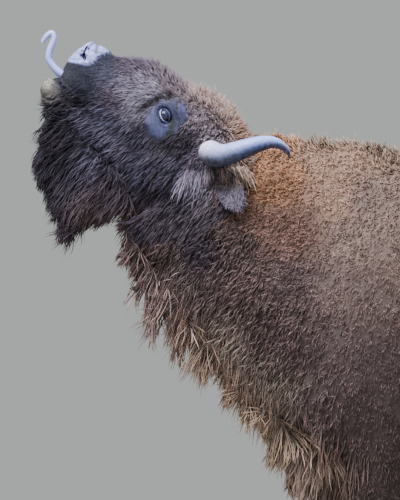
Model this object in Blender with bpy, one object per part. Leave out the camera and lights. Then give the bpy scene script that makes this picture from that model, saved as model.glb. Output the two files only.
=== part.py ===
"""A wisent cow reaching up to browse: a life-size still model, standing on her own hooves.

Units are metres and +Z is up. She faces -X, her left side faces -Y, and the floor is z = 0.
Her body is lofted from sections, fused into one form, and then parted by thin cuts into the
pieces that a person would name. Every solid reaches out to the tips of the coat.
"""

import math

import bmesh
import bpy
import numpy as np

# ---------------------------------------------------------------- driving dimensions
SHOULDER_HEIGHT = 1.62  # floor to the top of the hump, over the coat
GAP = 0.0003  # clearance between pieces that touch
POLL_X, POLL_Z = -0.434, 1.618  # the crown of the head, where the head's own axes start
FACE_PITCH = math.radians(30.9)  # how far the face line is tilted up above level
SPAN_STEPS = 4  # rings made between two given sections
RING_SIDES = 40
FORM_VOXEL = 0.008
FORM_SMOOTHING = 5
HAIR_VOXEL = 0.006
BEARD_TRIANGLES = 370
MANE_TRIANGLES = 500
BODY_TRIANGLES = 2150  # the whole form, thinned for the neck, trunk and limbs
HEAD_TRIANGLES = 7100  # the whole form, thinned less for the head and jaw

FORE = np.array([-math.cos(FACE_PITCH), 0.0, math.sin(FACE_PITCH)])  # poll to nose
DORSAL = np.array([math.sin(FACE_PITCH), 0.0, math.cos(FACE_PITCH)])  # out of the forehead
LEFT = np.array([0.0, -1.0, 0.0])
POLL = np.array([POLL_X, 0.0, POLL_Z])


def head_point(along, up, left=0.0):
    """A place on the head: metres from the poll along the face, out of the forehead, and left."""
    return POLL + along * FORE + up * DORSAL + left * LEFT


# ---------------------------------------------------------------- sections of the body
# The trunk from the chest to the buttocks:
# x, top z, bottom z, half width, share of the height where it is widest, upper and lower power
TRUNK = [
    (-0.40, 1.47, 0.95, 0.120, 0.45, 1.8, 2.0),
    (-0.36, 1.55, 0.87, 0.175, 0.45, 1.7, 2.1),
    (-0.28, 1.605, 0.785, 0.230, 0.43, 1.5, 2.1),
    (-0.15, SHOULDER_HEIGHT, 0.738, 0.265, 0.42, 1.4, 2.1),
    (0.02, 1.588, 0.722, 0.282, 0.42, 1.5, 2.1),
    (0.20, 1.528, 0.724, 0.298, 0.42, 1.7, 2.1),
    (0.40, 1.466, 0.738, 0.310, 0.43, 1.9, 2.1),
    (0.58, 1.430, 0.764, 0.302, 0.45, 2.0, 2.1),
    (0.74, 1.418, 0.808, 0.278, 0.48, 2.0, 2.1),
    (0.90, 1.418, 0.862, 0.250, 0.52, 2.0, 2.1),
    (1.04, 1.388, 0.910, 0.220, 0.55, 2.0, 2.1),
    (1.15, 1.328, 0.965, 0.176, 0.55, 2.0, 2.1),
    (1.225, 1.240, 1.020, 0.115, 0.55, 2.0, 2.0),
]
# The neck, as slanted sections: nape x and z, throat x and z, then half width, widest, powers
NECK = [
    (-0.05, 1.600, -0.13, 0.78, 0.258, 0.42, 1.4, 2.2),
    (-0.20, 1.621, -0.31, 0.80, 0.248, 0.42, 1.4, 2.1),
    (-0.29, 1.625, -0.430, 0.885, 0.232, 0.44, 1.5, 2.0),
    (-0.350, 1.626, -0.515, 1.005, 0.205, 0.44, 1.5, 2.0),
    (-0.400, 1.624, -0.600, 1.100, 0.172, 0.44, 1.6, 2.0),
    (-0.435, 1.616, -0.680, 1.205, 0.146, 0.46, 1.8, 2.0),
    (-0.460, 1.590, -0.740, 1.300, 0.125, 0.48, 2.0, 2.0),
    (-0.485, 1.560, -0.775, 1.375, 0.100, 0.50, 2.0, 2.0),
]
# The head with its coat: along the face from the poll, forehead, jaw, half width, widest, powers
HEAD = [
    (-0.055, -0.030, -0.235, 0.085, 0.58, 2.0, 2.0),
    (-0.012, 0.008, -0.268, 0.118, 0.60, 2.2, 1.9),
    (0.050, 0.043, -0.285, 0.130, 0.62, 2.4, 1.8),
    (0.105, 0.059, -0.285, 0.129, 0.62, 2.4, 1.8),
    (0.165, 0.056, -0.275, 0.124, 0.62, 2.3, 1.8),
    (0.220, 0.050, -0.255, 0.119, 0.62, 2.2, 1.8),
    (0.270, 0.056, -0.238, 0.105, 0.60, 2.1, 1.8),
    (0.312, 0.058, -0.222, 0.093, 0.58, 2.0, 1.9),
    (0.345, 0.050, -0.208, 0.086, 0.56, 2.0, 1.9),
    (0.374, 0.035, -0.198, 0.081, 0.54, 2.1, 2.0),
    (0.404, 0.019, -0.186, 0.076, 0.52, 2.2, 2.1),
    (0.428, 0.008, -0.176, 0.073, 0.50, 2.3, 2.2),
    (0.450, 0.013, -0.168, 0.073, 0.50, 2.4, 2.3),
    (0.472, 0.014, -0.160, 0.073, 0.50, 2.4, 2.3),
    (0.492, 0.011, -0.152, 0.071, 0.50, 2.4, 2.3),
    (0.508, 0.002, -0.144, 0.066, 0.50, 2.3, 2.2),
    (0.520, -0.014, -0.130, 0.058, 0.50, 2.3, 2.2),
    (0.530, -0.035, -0.112, 0.045, 0.50, 2.2, 2.1),
    (0.536, -0.055, -0.092, 0.026, 0.50, 2.0, 2.0),
]
# The lower jaw, dropped a little, with its lip pushed forward: the same columns
JAW = [
    (0.060, -0.170, -0.315, 0.070, 0.56, 2.0, 1.8),
    (0.150, -0.160, -0.345, 0.074, 0.60, 2.0, 1.7),
    (0.215, -0.155, -0.312, 0.072, 0.56, 2.0, 1.8),
    (0.280, -0.150, -0.262, 0.068, 0.50, 2.0, 2.0),
    (0.360, -0.145, -0.244, 0.060, 0.50, 2.0, 2.0),
    (0.430, -0.148, -0.229, 0.052, 0.50, 2.0, 2.0),
    (0.490, -0.144, -0.219, 0.050, 0.50, 2.1, 2.1),
    (0.530, -0.132, -0.208, 0.047, 0.50, 2.2, 2.1),
    (0.552, -0.133, -0.194, 0.040, 0.50, 2.2, 2.1),
    (0.565, -0.148, -0.176, 0.022, 0.50, 2.0, 2.0),
]
# Each limb, downwards: z, x, distance from the midline, half length fore and aft, half width
FORE_LIMB = [
    (1.12, -0.080, 0.165, 0.150, 0.075),
    (0.98, -0.075, 0.178, 0.152, 0.088),
    (0.86, -0.050, 0.176, 0.140, 0.086),
    (0.74, -0.045, 0.166, 0.114, 0.076),
    (0.62, -0.052, 0.158, 0.088, 0.064),
    (0.50, -0.060, 0.152, 0.066, 0.054),
    (0.425, -0.066, 0.150, 0.060, 0.053),
    (0.36, -0.062, 0.149, 0.048, 0.045),
    (0.26, -0.060, 0.148, 0.041, 0.038),
    (0.18, -0.062, 0.148, 0.044, 0.042),
    (0.135, -0.066, 0.148, 0.049, 0.048),
    (0.09, -0.082, 0.148, 0.044, 0.048),
    (0.05, -0.098, 0.148, 0.046, 0.051),
    (0.00, -0.104, 0.148, 0.046, 0.052),
]
HIND_LIMB = [
    (1.24, 0.960, 0.120, 0.190, 0.090),
    (1.10, 0.960, 0.140, 0.215, 0.108),
    (0.96, 0.945, 0.150, 0.215, 0.108),
    (0.84, 0.925, 0.154, 0.182, 0.096),
    (0.73, 0.940, 0.154, 0.134, 0.079),
    (0.62, 0.990, 0.150, 0.094, 0.062),
    (0.535, 1.045, 0.146, 0.076, 0.051),
    (0.47, 1.060, 0.144, 0.062, 0.046),
    (0.38, 1.052, 0.143, 0.047, 0.040),
    (0.28, 1.044, 0.143, 0.042, 0.037),
    (0.185, 1.038, 0.143, 0.046, 0.042),
    (0.14, 1.032, 0.143, 0.050, 0.047),
    (0.09, 1.012, 0.143, 0.044, 0.048),
    (0.05, 0.994, 0.143, 0.046, 0.051),
    (0.00, 0.988, 0.143, 0.046, 0.052),
]
# How far each foot stands ahead of (-) or behind (+) its section list
LIMBS = {
    "front_left": (FORE_LIMB, 1, -0.055),
    "front_right": (FORE_LIMB, -1, 0.045),
    "hind_left": (HIND_LIMB, 1, 0.060),
    "hind_right": (HIND_LIMB, -1, -0.070),
}
STRIDE_TOP = 0.95  # above this height a limb stays where the body carries it

# ---------------------------------------------------------------- materials: colour, roughness
MATERIALS = {
    "dark_coat": ((0.040, 0.030, 0.030), 0.85),
    "brown_coat": ((0.120, 0.075, 0.055), 0.85),
    "leg_coat": ((0.050, 0.035, 0.030), 0.85),
    "long_hair": ((0.060, 0.038, 0.030), 0.80),
    "horn": ((0.160, 0.165, 0.190), 0.40),
    "hoof": ((0.045, 0.040, 0.038), 0.45),
    "eyeball": ((0.012, 0.008, 0.007), 0.05),
    "tongue_skin": ((0.360, 0.330, 0.400), 0.30),
}


def clear_scene():
    for old in list(bpy.data.objects):
        bpy.data.objects.remove(old)


def material(name):
    found = bpy.data.materials.get(name)
    if found:
        return found
    colour, roughness = MATERIALS[name]
    made = bpy.data.materials.new(name)
    made.use_nodes = True
    shader = made.node_tree.nodes["Principled BSDF"]
    shader.inputs["Base Color"].default_value = (*colour, 1.0)
    shader.inputs["Roughness"].default_value = roughness
    shader.inputs["Metallic"].default_value = 0.0
    return made


# ---------------------------------------------------------------- shape tools
def smooth_rows(rows, steps=SPAN_STEPS):
    """Rows of numbers joined by a smooth Catmull-Rom curve through every row."""
    p = np.array(rows, float)
    p = np.vstack([2 * p[0] - p[1], p, 2 * p[-1] - p[-2]])
    out = []
    for i in range(1, len(p) - 2):
        a, b, c, d = p[i - 1], p[i], p[i + 1], p[i + 2]
        straight, curve, twist = c - a, 2 * a - 5 * b + 4 * c - d, 3 * b - a - 3 * c + d
        for t in np.arange(steps) / steps:
            out.append(b + 0.5 * (straight * t + curve * t**2 + twist * t**3))
    out.append(p[-2])
    return np.array(out)


def mesh_from(name, points, faces):
    mesh = bpy.data.meshes.new(name)
    mesh.from_pydata([tuple(p) for p in points], [], faces)
    bm = bmesh.new()
    bm.from_mesh(mesh)
    bmesh.ops.recalc_face_normals(bm, faces=bm.faces)
    bm.to_mesh(mesh)
    bm.free()
    return mesh


def closed_loft(name, rings):
    """One closed mesh through a stack of rings, each with the same number of points."""
    rings = np.array(rings)
    count, sides = rings.shape[:2]
    faces = [
        (i * sides + k, i * sides + (k + 1) % sides, (i + 1) * sides + (k + 1) % sides, (i + 1) * sides + k)
        for i in range(count - 1)
        for k in range(sides)
    ]
    points = [*rings.reshape(-1, 3), rings[0].mean(0), rings[-1].mean(0)]
    first, last = len(points) - 2, len(points) - 1
    end = (count - 1) * sides
    faces += [(first, (k + 1) % sides, k) for k in range(sides)]
    faces += [(last, end + k, end + (k + 1) % sides) for k in range(sides)]
    return mesh_from(name, points, faces)


def egg(half_width, up, down, upper, lower, sides=RING_SIDES):
    """Across and upward offsets of an egg-shaped ring: superellipse halves of two powers."""
    angle = np.arange(sides) * 2 * math.pi / sides
    c, s = np.cos(angle), np.sin(angle)
    power = np.where(s >= 0, upper, lower)
    across = half_width * np.sign(c) * np.abs(c) ** (2 / power)
    upward = np.where(s >= 0, up, down) * np.sign(s) * np.abs(s) ** (2 / power)
    return across, upward


def section_ring(top, bottom, half_width, widest, upper, lower):
    """An egg ring between a top and a bottom point, widest at a share of the way up."""
    top, bottom = np.array(top), np.array(bottom)
    height = np.linalg.norm(top - bottom)
    upward = (top - bottom) / height
    middle = bottom + widest * (top - bottom)
    across, rise = egg(half_width, (1 - widest) * height, widest * height, upper, lower)
    return middle + rise[:, None] * upward + across[:, None] * LEFT


def trunk_form():
    rings = [
        section_ring((x, 0, top), (x, 0, bottom), *shape) for x, top, bottom, *shape in smooth_rows(TRUNK)
    ]
    return closed_loft("trunk_form", rings)


def neck_form():
    rings = [
        section_ring((tx, 0, tz), (bx, 0, bz), *shape) for tx, tz, bx, bz, *shape in smooth_rows(NECK)
    ]
    return closed_loft("neck_form", rings)


def head_form(name, stations):
    rings = [
        section_ring(head_point(along, top), head_point(along, bottom), *shape)
        for along, top, bottom, *shape in smooth_rows(stations)
    ]
    return closed_loft(name, rings)


def limb_stations(limb):
    """The limb's own rows, with the foot moved by its stride, and its side of the body."""
    rows, side, stride = LIMBS[limb]
    moved = []
    for z, x, out, long, wide in rows:
        share = min(1.0, max(0.0, (STRIDE_TOP - z) / STRIDE_TOP))
        moved.append((z, x + stride * share, side * out, long, wide))
    return moved


def limb_form(limb):
    rings = []
    for z, x, out, long, wide in smooth_rows(limb_stations(limb)):
        across, ahead = egg(wide, long, long, 2.2, 2.2, 24)
        rings.append([(x + b, -out + a, z) for a, b in zip(across, ahead)])
    return closed_loft(limb, rings)


def ellipsoid(centre, radii, tilt=0.0, sides=24):
    """A closed ball stretched to its radii and pitched nose-up about Y."""
    bm = bmesh.new()
    bmesh.ops.create_uvsphere(bm, u_segments=sides, v_segments=sides * 2 // 3, radius=1.0)
    c, s = math.cos(tilt), math.sin(tilt)
    for v in bm.verts:
        x, y, z = v.co.x * radii[0], v.co.y * radii[1], v.co.z * radii[2]
        v.co = (centre[0] + c * x + s * z, centre[1] + y, centre[2] - s * x + c * z)
    mesh = bpy.data.meshes.new("ellipsoid")
    bm.to_mesh(mesh)
    bm.free()
    return mesh


def path_frames(path):
    """Unit tangents, and two cross axes that twist as little as they can, along a path."""
    path = np.array(path, float)
    tangent = np.gradient(path, axis=0)
    tangent /= np.linalg.norm(tangent, axis=1)[:, None]
    side = np.zeros_like(path)
    start = np.cross(tangent[0], (0.0, 1.0, 0.0))
    if np.linalg.norm(start) < 0.2:
        start = np.cross(tangent[0], (0.0, 0.0, 1.0))
    for i, t in enumerate(tangent):
        start = start - start.dot(t) * t
        start = start / np.linalg.norm(start)
        side[i] = start
    return tangent, side, np.cross(tangent, side)


def tapered_tube(name, stations, sides=12, steps=SPAN_STEPS):
    """A closed tube along x, y, z with two half thicknesses: in the bend's plane, and across it."""
    rows = smooth_rows(stations, steps)
    path = rows[:, :3]
    _, side, cross = path_frames(path)
    angle = np.arange(sides) * 2 * math.pi / sides
    rings = [
        p + a * np.cos(angle)[:, None] * s + b * np.sin(angle)[:, None] * c
        for p, s, c, a, b in zip(path, side, cross, rows[:, 3], rows[:, 4])
    ]
    return closed_loft(name, rings)


# ---------------------------------------------------------------- object tools
def add_object(name, mesh, material_name=None):
    made = bpy.data.objects.new(name, mesh)
    bpy.context.scene.collection.objects.link(made)
    if material_name:
        mesh.materials.clear()
        mesh.materials.append(material(material_name))
        mesh.shade_smooth()
    return made


def baked(obj):
    """The object's mesh with its modifiers applied, after which the object itself is removed."""
    bpy.context.view_layer.update()
    graph = bpy.context.evaluated_depsgraph_get()
    mesh = bpy.data.meshes.new_from_object(obj.evaluated_get(graph))
    bpy.data.objects.remove(obj)
    return mesh


def fused(name, meshes, voxel=FORM_VOXEL, smoothing=FORM_SMOOTHING):
    """Overlapping closed meshes made one form, its joins rounded off."""
    bm = bmesh.new()
    for mesh in meshes:
        bm.from_mesh(mesh)
    whole = bpy.data.meshes.new(name)
    bm.to_mesh(whole)
    bm.free()
    obj = add_object(name, whole)
    remesh = obj.modifiers.new("Fuse", "REMESH")
    remesh.mode = "VOXEL"
    remesh.voxel_size = voxel
    if smoothing:
        smooth = obj.modifiers.new("Round off", "SMOOTH")
        smooth.factor = 0.5
        smooth.iterations = smoothing
    return baked(obj)


def thinned(mesh, triangles):
    """A copy of the mesh collapsed to about that many triangles."""
    obj = add_object("thinned", mesh.copy())
    decimate = obj.modifiers.new("Thin", "DECIMATE")
    decimate.ratio = triangles / sum(len(p.vertices) - 2 for p in mesh.polygons)
    decimate.use_collapse_triangulate = True
    return baked(obj)


def cut_by(mesh, cutter, operation="DIFFERENCE"):
    """The mesh less the cutter, or only what lies inside it."""
    body = add_object("cut_body", mesh.copy())
    tool = add_object("cut_tool", cutter)
    tool.hide_render = True
    tool.display_type = "WIRE"
    boolean = body.modifiers.new("Part", "BOOLEAN")
    boolean.operation = operation
    boolean.object = tool
    mesh = baked(body)
    bpy.data.objects.remove(tool)
    return mesh


def swollen(mesh, by=GAP):
    """A copy of the mesh pushed outwards by a clearance."""
    obj = add_object("swollen", mesh.copy())
    displace = obj.modifiers.new("Clearance", "DISPLACE")
    displace.strength = by
    displace.mid_level = 0.0
    return baked(obj)


def prism(outline, low_y, high_y, margin=0.0):
    """A closed prism over an outline of (x, z) points, grown by a margin in its own plane."""
    points = np.array(outline, float)
    after, before = np.roll(points, -1, 0), np.roll(points, 1, 0)
    turn = (after - before) / np.linalg.norm(after - before, axis=1)[:, None]
    area = 0.5 * np.sum(points[:, 0] * after[:, 1] - after[:, 0] * points[:, 1])
    outward = np.stack([turn[:, 1], -turn[:, 0]], 1) * np.sign(area)
    points = points + margin * outward
    count = len(points)
    corners = [(x, low_y - margin, z) for x, z in points] + [(x, high_y + margin, z) for x, z in points]
    faces = [(k, (k + 1) % count, count + (k + 1) % count, count + k) for k in range(count)]
    faces += [tuple(range(count)), tuple(range(2 * count - 1, count - 1, -1))]
    return mesh_from("prism", corners, faces)


# ---------------------------------------------------------------- where the body is parted
FAR = 0.6  # half width of the cutters that part the whole body
# Behind the poll and the ear, under the jaw angle and out through the throat: x, z
NAPE_CUT = [
    (-0.405, 1.72),
    (-0.405, 1.60),
    (-0.425, 1.49),
    (-0.475, 1.40),
    (-0.56, 1.345),
    (-0.70, 1.34),
    (-0.86, 1.30),
]
CHEST_CUT = [(-0.27, 1.75), (-0.29, 1.50), (-0.33, 1.20), (-0.36, 0.95), (-0.42, 0.60)]
# Between the lips to the mouth's corner, then back under the cheek to the throat: along, up
MOUTH_CUT = [
    (0.62, -0.122),
    (0.52, -0.140),
    (0.44, -0.158),
    (0.36, -0.178),
    (0.26, -0.205),
    (0.14, -0.235),
    (0.02, -0.275),
]
# The beard lies ahead of the throat: its outline in x and z
BEARD_SIDE = [
    (-0.812, 1.20),
    (-0.803, 1.392),
    (-0.640, 1.430),
    (-0.600, 2.0),
    (-1.4, 2.0),
    (-1.4, 1.20),
]
# The tops of the legs follow the line of the belly; below it the blocks widen to clear them
FORE_LIMB_CUT = [(-0.225, 0.708), (0.110, 0.712), (0.24, 0.45), (0.24, -0.1), (-0.40, -0.1), (-0.40, 0.45)]
HIND_LIMB_CUT = [(0.735, 0.796), (1.160, 0.880), (1.40, 0.50), (1.40, -0.1), (0.66, -0.1), (0.66, 0.50)]
LIMB_INNER = 0.035  # the limbs are cut off outside this distance from the midline


def head_side():
    """Everything ahead of the nape cut, as an outline."""
    return [*smooth_rows(NAPE_CUT), (-1.4, 1.30), (-1.4, 2.2), (-0.405, 2.2)]


def neck_side():
    """Everything ahead of the chest cut."""
    return [*smooth_rows(CHEST_CUT), (-1.4, 0.60), (-1.4, 2.2), (-0.27, 2.2)]


def jaw_side():
    """Everything under the mouth cut, as x and z."""
    edge = [head_point(along, up)[[0, 2]] for along, up in smooth_rows(MOUTH_CUT)]
    return [*edge, head_point(0.02, -0.60)[[0, 2]], head_point(0.62, -0.60)[[0, 2]]]


def limb_side(limb, margin=0.0):
    """The block of space that a limb is cut from."""
    outline = FORE_LIMB_CUT if limb.startswith("front") else HIND_LIMB_CUT
    low, high = (-FAR, -LIMB_INNER) if LIMBS[limb][1] > 0 else (LIMB_INNER, FAR)
    return prism(outline, low, high, margin)


# ---------------------------------------------------------------- the flesh
EYE_ALONG, EYE_UP, EYE_OUT = 0.221, -0.067, 0.104
EYE_RADIUS = 0.0195
HORN_ALONG, HORN_UP = 0.057, -0.096


# Muscle and bone that swell the head: along, up, out, then half sizes fore-aft, across and high
HEAD_SWELLINGS = {
    "cheek": (0.135, -0.185, 0.070, 0.105, 0.048, 0.085),
    "nostril rim": (0.483, -0.045, 0.050, 0.042, 0.026, 0.042),
    "upper lip": (0.470, -0.115, 0.046, 0.062, 0.028, 0.042),
    "under the eye": (0.235, -0.105, 0.092, 0.045, 0.022, 0.028),
    "horn base": (HORN_ALONG, HORN_UP, 0.105, 0.048, 0.040, 0.048),
}
# The brow ridge over the eye: along, up, out, half thickness, half width
BROW = [
    (0.155, -0.045, 0.110, 0.018, 0.016),
    (0.195, -0.034, 0.112, 0.022, 0.018),
    (0.235, -0.037, 0.105, 0.022, 0.018),
    (0.275, -0.052, 0.092, 0.018, 0.014),
]
# Muscle that swells the body: x, out, z, half sizes fore-aft, across and high, lean in degrees
BODY_SWELLINGS = {
    "shoulder": (-0.105, 0.172, 1.06, 0.165, 0.106, 0.340, 12),
    "upper arm": (-0.210, 0.140, 0.95, 0.120, 0.095, 0.140, 0),
    "haunch": (0.955, 0.155, 1.10, 0.235, 0.102, 0.260, 0),
    "hip": (0.800, 0.165, 1.275, 0.130, 0.072, 0.095, 0),
    "buttock": (1.150, 0.085, 1.125, 0.086, 0.066, 0.140, 0),
}


def head_swellings():
    """The head's swellings and brow ridges, on both sides."""
    made = []
    for side in (1, -1):
        for along, up, out, *half in HEAD_SWELLINGS.values():
            made.append(ellipsoid(head_point(along, up, side * out), half, FACE_PITCH))
        brow = [(*head_point(along, up, side * out), thick, wide) for along, up, out, thick, wide in BROW]
        made.append(tapered_tube("brow", brow))
    return made


def body_swellings():
    """The body's swellings, on both sides."""
    made = []
    for side in (1, -1):
        for x, out, z, long, wide, high, lean in BODY_SWELLINGS.values():
            made.append(ellipsoid((x, -side * out, z), (long, wide, high), math.radians(lean)))
    return made


def body_form():
    """The whole animal's flesh and short coat as one closed mesh, finely meshed."""
    forms = [trunk_form(), neck_form(), head_form("upper_head", HEAD), head_form("lower_jaw_form", JAW)]
    forms += head_swellings() + body_swellings()
    forms += [limb_form(limb) for limb in LIMBS]
    return fused("body_form", forms)


# ---------------------------------------------------------------- eyes, horns, ears, tongue
def eyeball(side, radius=EYE_RADIUS):
    centre = head_point(EYE_ALONG, EYE_UP, side * EYE_OUT)
    bm = bmesh.new()
    bmesh.ops.create_icosphere(bm, subdivisions=2, radius=radius)
    for v in bm.verts:
        v.co += type(v.co)(centre)
    mesh = bpy.data.meshes.new("eyeball")
    bm.to_mesh(mesh)
    bm.free()
    return mesh


EYE_SLIT_OUT = 0.122
EYE_SLIT_HALF = (0.026, 0.012, 0.014)
EYE_SLIT_LEAN = math.radians(69)
NOSTRIL_AT = (0.507, -0.036, 0.068)  # along, up, out
NOSTRIL_HALF = (0.022, 0.012, 0.007)
NOSTRIL_LEAN = math.radians(-74)


def eye_slit(side):
    """The opening between the lids: it slants from the nose side down to the cheek."""
    centre = head_point(EYE_ALONG, EYE_UP, side * EYE_SLIT_OUT)
    return ellipsoid(centre, EYE_SLIT_HALF, EYE_SLIT_LEAN, 12)


def nostril(side):
    """A steep slit in the side of the nose."""
    along, up, out = NOSTRIL_AT
    return ellipsoid(head_point(along, up, side * out), NOSTRIL_HALF, NOSTRIL_LEAN, 10)


# Out of the skull, back and up, then in at the tip: x, left, z, radius
HORN = [
    (-0.534, 0.080, 1.572, 0.0345),
    (-0.532, 0.120, 1.571, 0.0350),
    (-0.520, 0.160, 1.565, 0.0335),
    (-0.494, 0.194, 1.562, 0.0310),
    (-0.452, 0.216, 1.574, 0.0278),
    (-0.408, 0.222, 1.589, 0.0237),
    (-0.368, 0.213, 1.597, 0.0176),
    (-0.339, 0.196, 1.590, 0.0128),
    (-0.319, 0.175, 1.573, 0.0080),
    (-0.311, 0.158, 1.554, 0.0016),
]


def horn_form(side):
    rows = [(x, -side * left, z, r, r) for x, left, z, r in HORN]
    return tapered_tube("horn", rows, sides=12, steps=1)


# From the root under the horn down to the tip: x, left, z, then half width
EAR = [
    (-0.516, 0.095, 1.534, 0.018),
    (-0.504, 0.134, 1.510, 0.026),
    (-0.487, 0.172, 1.479, 0.041),
    (-0.468, 0.196, 1.448, 0.037),
    (-0.455, 0.208, 1.428, 0.022),
    (-0.448, 0.213, 1.415, 0.006),
]
EAR_WALL = 0.009
EAR_OPENS = (-0.30, -0.10)  # x and z of the way the ear's hollow faces, beside straight out


def ear_form(side):
    """A leaf of even wall, cupped about its own length, open outwards and down."""
    rows = smooth_rows(EAR, 2)
    path = np.array([(x, -side * left, z) for x, left, z, _ in rows])
    opens = np.array([EAR_OPENS[0], -side * 1.0, EAR_OPENS[1]])
    tangent = np.gradient(path, axis=0)
    tangent /= np.linalg.norm(tangent, axis=1)[:, None]
    rings = []
    for centre, t, (_, _, _, half) in zip(path, tangent, rows):
        face = opens - opens.dot(t) * t
        face /= np.linalg.norm(face)
        across = np.cross(t, face)
        reach = np.linspace(-1.0, 1.0, 5)
        bend = 0.55 * half * (1 - reach**2)
        inner = centre + reach[:, None] * half * across - bend[:, None] * face
        wall = EAR_WALL * (0.35 + 0.65 * (1 - reach**2))
        outer = inner - wall[:, None] * face
        rings.append([*inner, *outer[::-1]])
    return closed_loft("ear", rings)


# Out between the lips, up, and curled over forwards at the tip: x, left, z, thickness, width
TONGUE = [
    (-0.880, 0.000, 1.750, 0.0120, 0.0250),
    (-0.915, 0.000, 1.774, 0.0124, 0.0250),
    (-0.944, 0.003, 1.791, 0.0120, 0.0235),
    (-0.967, 0.007, 1.811, 0.0106, 0.0210),
    (-0.982, 0.011, 1.834, 0.0092, 0.0175),
    (-0.981, 0.015, 1.856, 0.0086, 0.0152),
    (-0.973, 0.018, 1.878, 0.0080, 0.0140),
    (-0.968, 0.020, 1.896, 0.0074, 0.0130),
    (-0.975, 0.021, 1.908, 0.0070, 0.0120),
    (-0.989, 0.020, 1.899, 0.0064, 0.0110),
    (-1.001, 0.018, 1.882, 0.0046, 0.0075),
]


def tongue_form(grown=0.0):
    """The tongue, or the room that it needs: grown all round and deeper at its root."""
    rows = [(x, -left, z, thick + grown, wide + grown) for x, left, z, thick, wide in TONGUE]
    x, y, z, thick, wide = rows[0]
    rows[0] = (x + grown, y, z - grown, thick, wide)
    return tapered_tube("tongue", rows, sides=8, steps=1)


# ---------------------------------------------------------------- long hair
# The body of the beard, in sections: root x and z, hem x and z, half width, widest, powers
BEARD = [
    (-0.990, 1.735, -1.006, 1.680, 0.018, 0.60, 2.0, 1.6),
    (-0.975, 1.735, -1.014, 1.560, 0.034, 0.62, 2.0, 1.4),
    (-0.944, 1.705, -0.998, 1.460, 0.042, 0.64, 2.0, 1.3),
    (-0.896, 1.665, -0.956, 1.388, 0.048, 0.66, 2.0, 1.3),
    (-0.840, 1.610, -0.914, 1.355, 0.052, 0.66, 2.0, 1.3),
    (-0.784, 1.552, -0.862, 1.368, 0.052, 0.66, 2.0, 1.3),
    (-0.730, 1.510, -0.812, 1.374, 0.050, 0.64, 2.0, 1.4),
    (-0.690, 1.500, -0.776, 1.380, 0.046, 0.60, 2.0, 1.6),
    (-0.655, 1.485, -0.742, 1.384, 0.038, 0.60, 2.0, 1.8),
]
# Its locks: root x, left, z, tip x, left, z, then half thickness
BEARD_LOCKS = [
    (-0.985, 0.000, 1.640, -1.024, -0.006, 1.492, 0.024),
    (-0.978, 0.022, 1.610, -1.006, 0.030, 1.452, 0.024),
    (-0.970, -0.022, 1.600, -1.002, -0.030, 1.470, 0.024),
    (-0.950, 0.004, 1.540, -0.981, 0.008, 1.396, 0.028),
    (-0.926, 0.026, 1.500, -0.949, 0.030, 1.314, 0.028),
    (-0.920, -0.026, 1.500, -0.950, -0.028, 1.345, 0.028),
    (-0.905, 0.002, 1.470, -0.931, 0.004, 1.310, 0.030),
    (-0.872, 0.028, 1.470, -0.897, 0.032, 1.338, 0.030),
    (-0.868, -0.028, 1.470, -0.893, -0.030, 1.345, 0.030),
    (-0.832, 0.000, 1.470, -0.856, 0.000, 1.352, 0.032),
    (-0.790, 0.022, 1.470, -0.818, 0.026, 1.362, 0.030),
    (-0.785, -0.022, 1.470, -0.815, -0.024, 1.366, 0.030),
]
# The body of the mane under the throat, in the same columns as the beard
MANE = [
    (-0.650, 1.450, -0.790, 1.396, 0.050, 0.60, 2.0, 1.6),
    (-0.660, 1.395, -0.794, 1.318, 0.058, 0.62, 2.0, 1.5),
    (-0.650, 1.318, -0.765, 1.240, 0.070, 0.64, 2.0, 1.4),
    (-0.620, 1.240, -0.716, 1.168, 0.080, 0.64, 2.0, 1.4),
    (-0.560, 1.168, -0.648, 1.098, 0.088, 0.64, 2.0, 1.4),
    (-0.494, 1.096, -0.576, 1.030, 0.096, 0.64, 2.0, 1.4),
    (-0.430, 1.020, -0.500, 0.960, 0.104, 0.64, 2.0, 1.4),
    (-0.375, 0.944, -0.436, 0.882, 0.110, 0.64, 2.0, 1.4),
    (-0.325, 0.862, -0.385, 0.798, 0.114, 0.64, 2.0, 1.4),
    (-0.280, 0.800, -0.345, 0.706, 0.114, 0.64, 2.0, 1.4),
    (-0.235, 0.800, -0.300, 0.630, 0.110, 0.64, 2.0, 1.4),
    (-0.165, 0.800, -0.205, 0.590, 0.096, 0.64, 2.0, 1.4),
    (-0.085, 0.805, -0.100, 0.610, 0.074, 0.62, 2.0, 1.6),
    (-0.020, 0.800, -0.020, 0.660, 0.046, 0.60, 2.0, 1.8),
]
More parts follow.
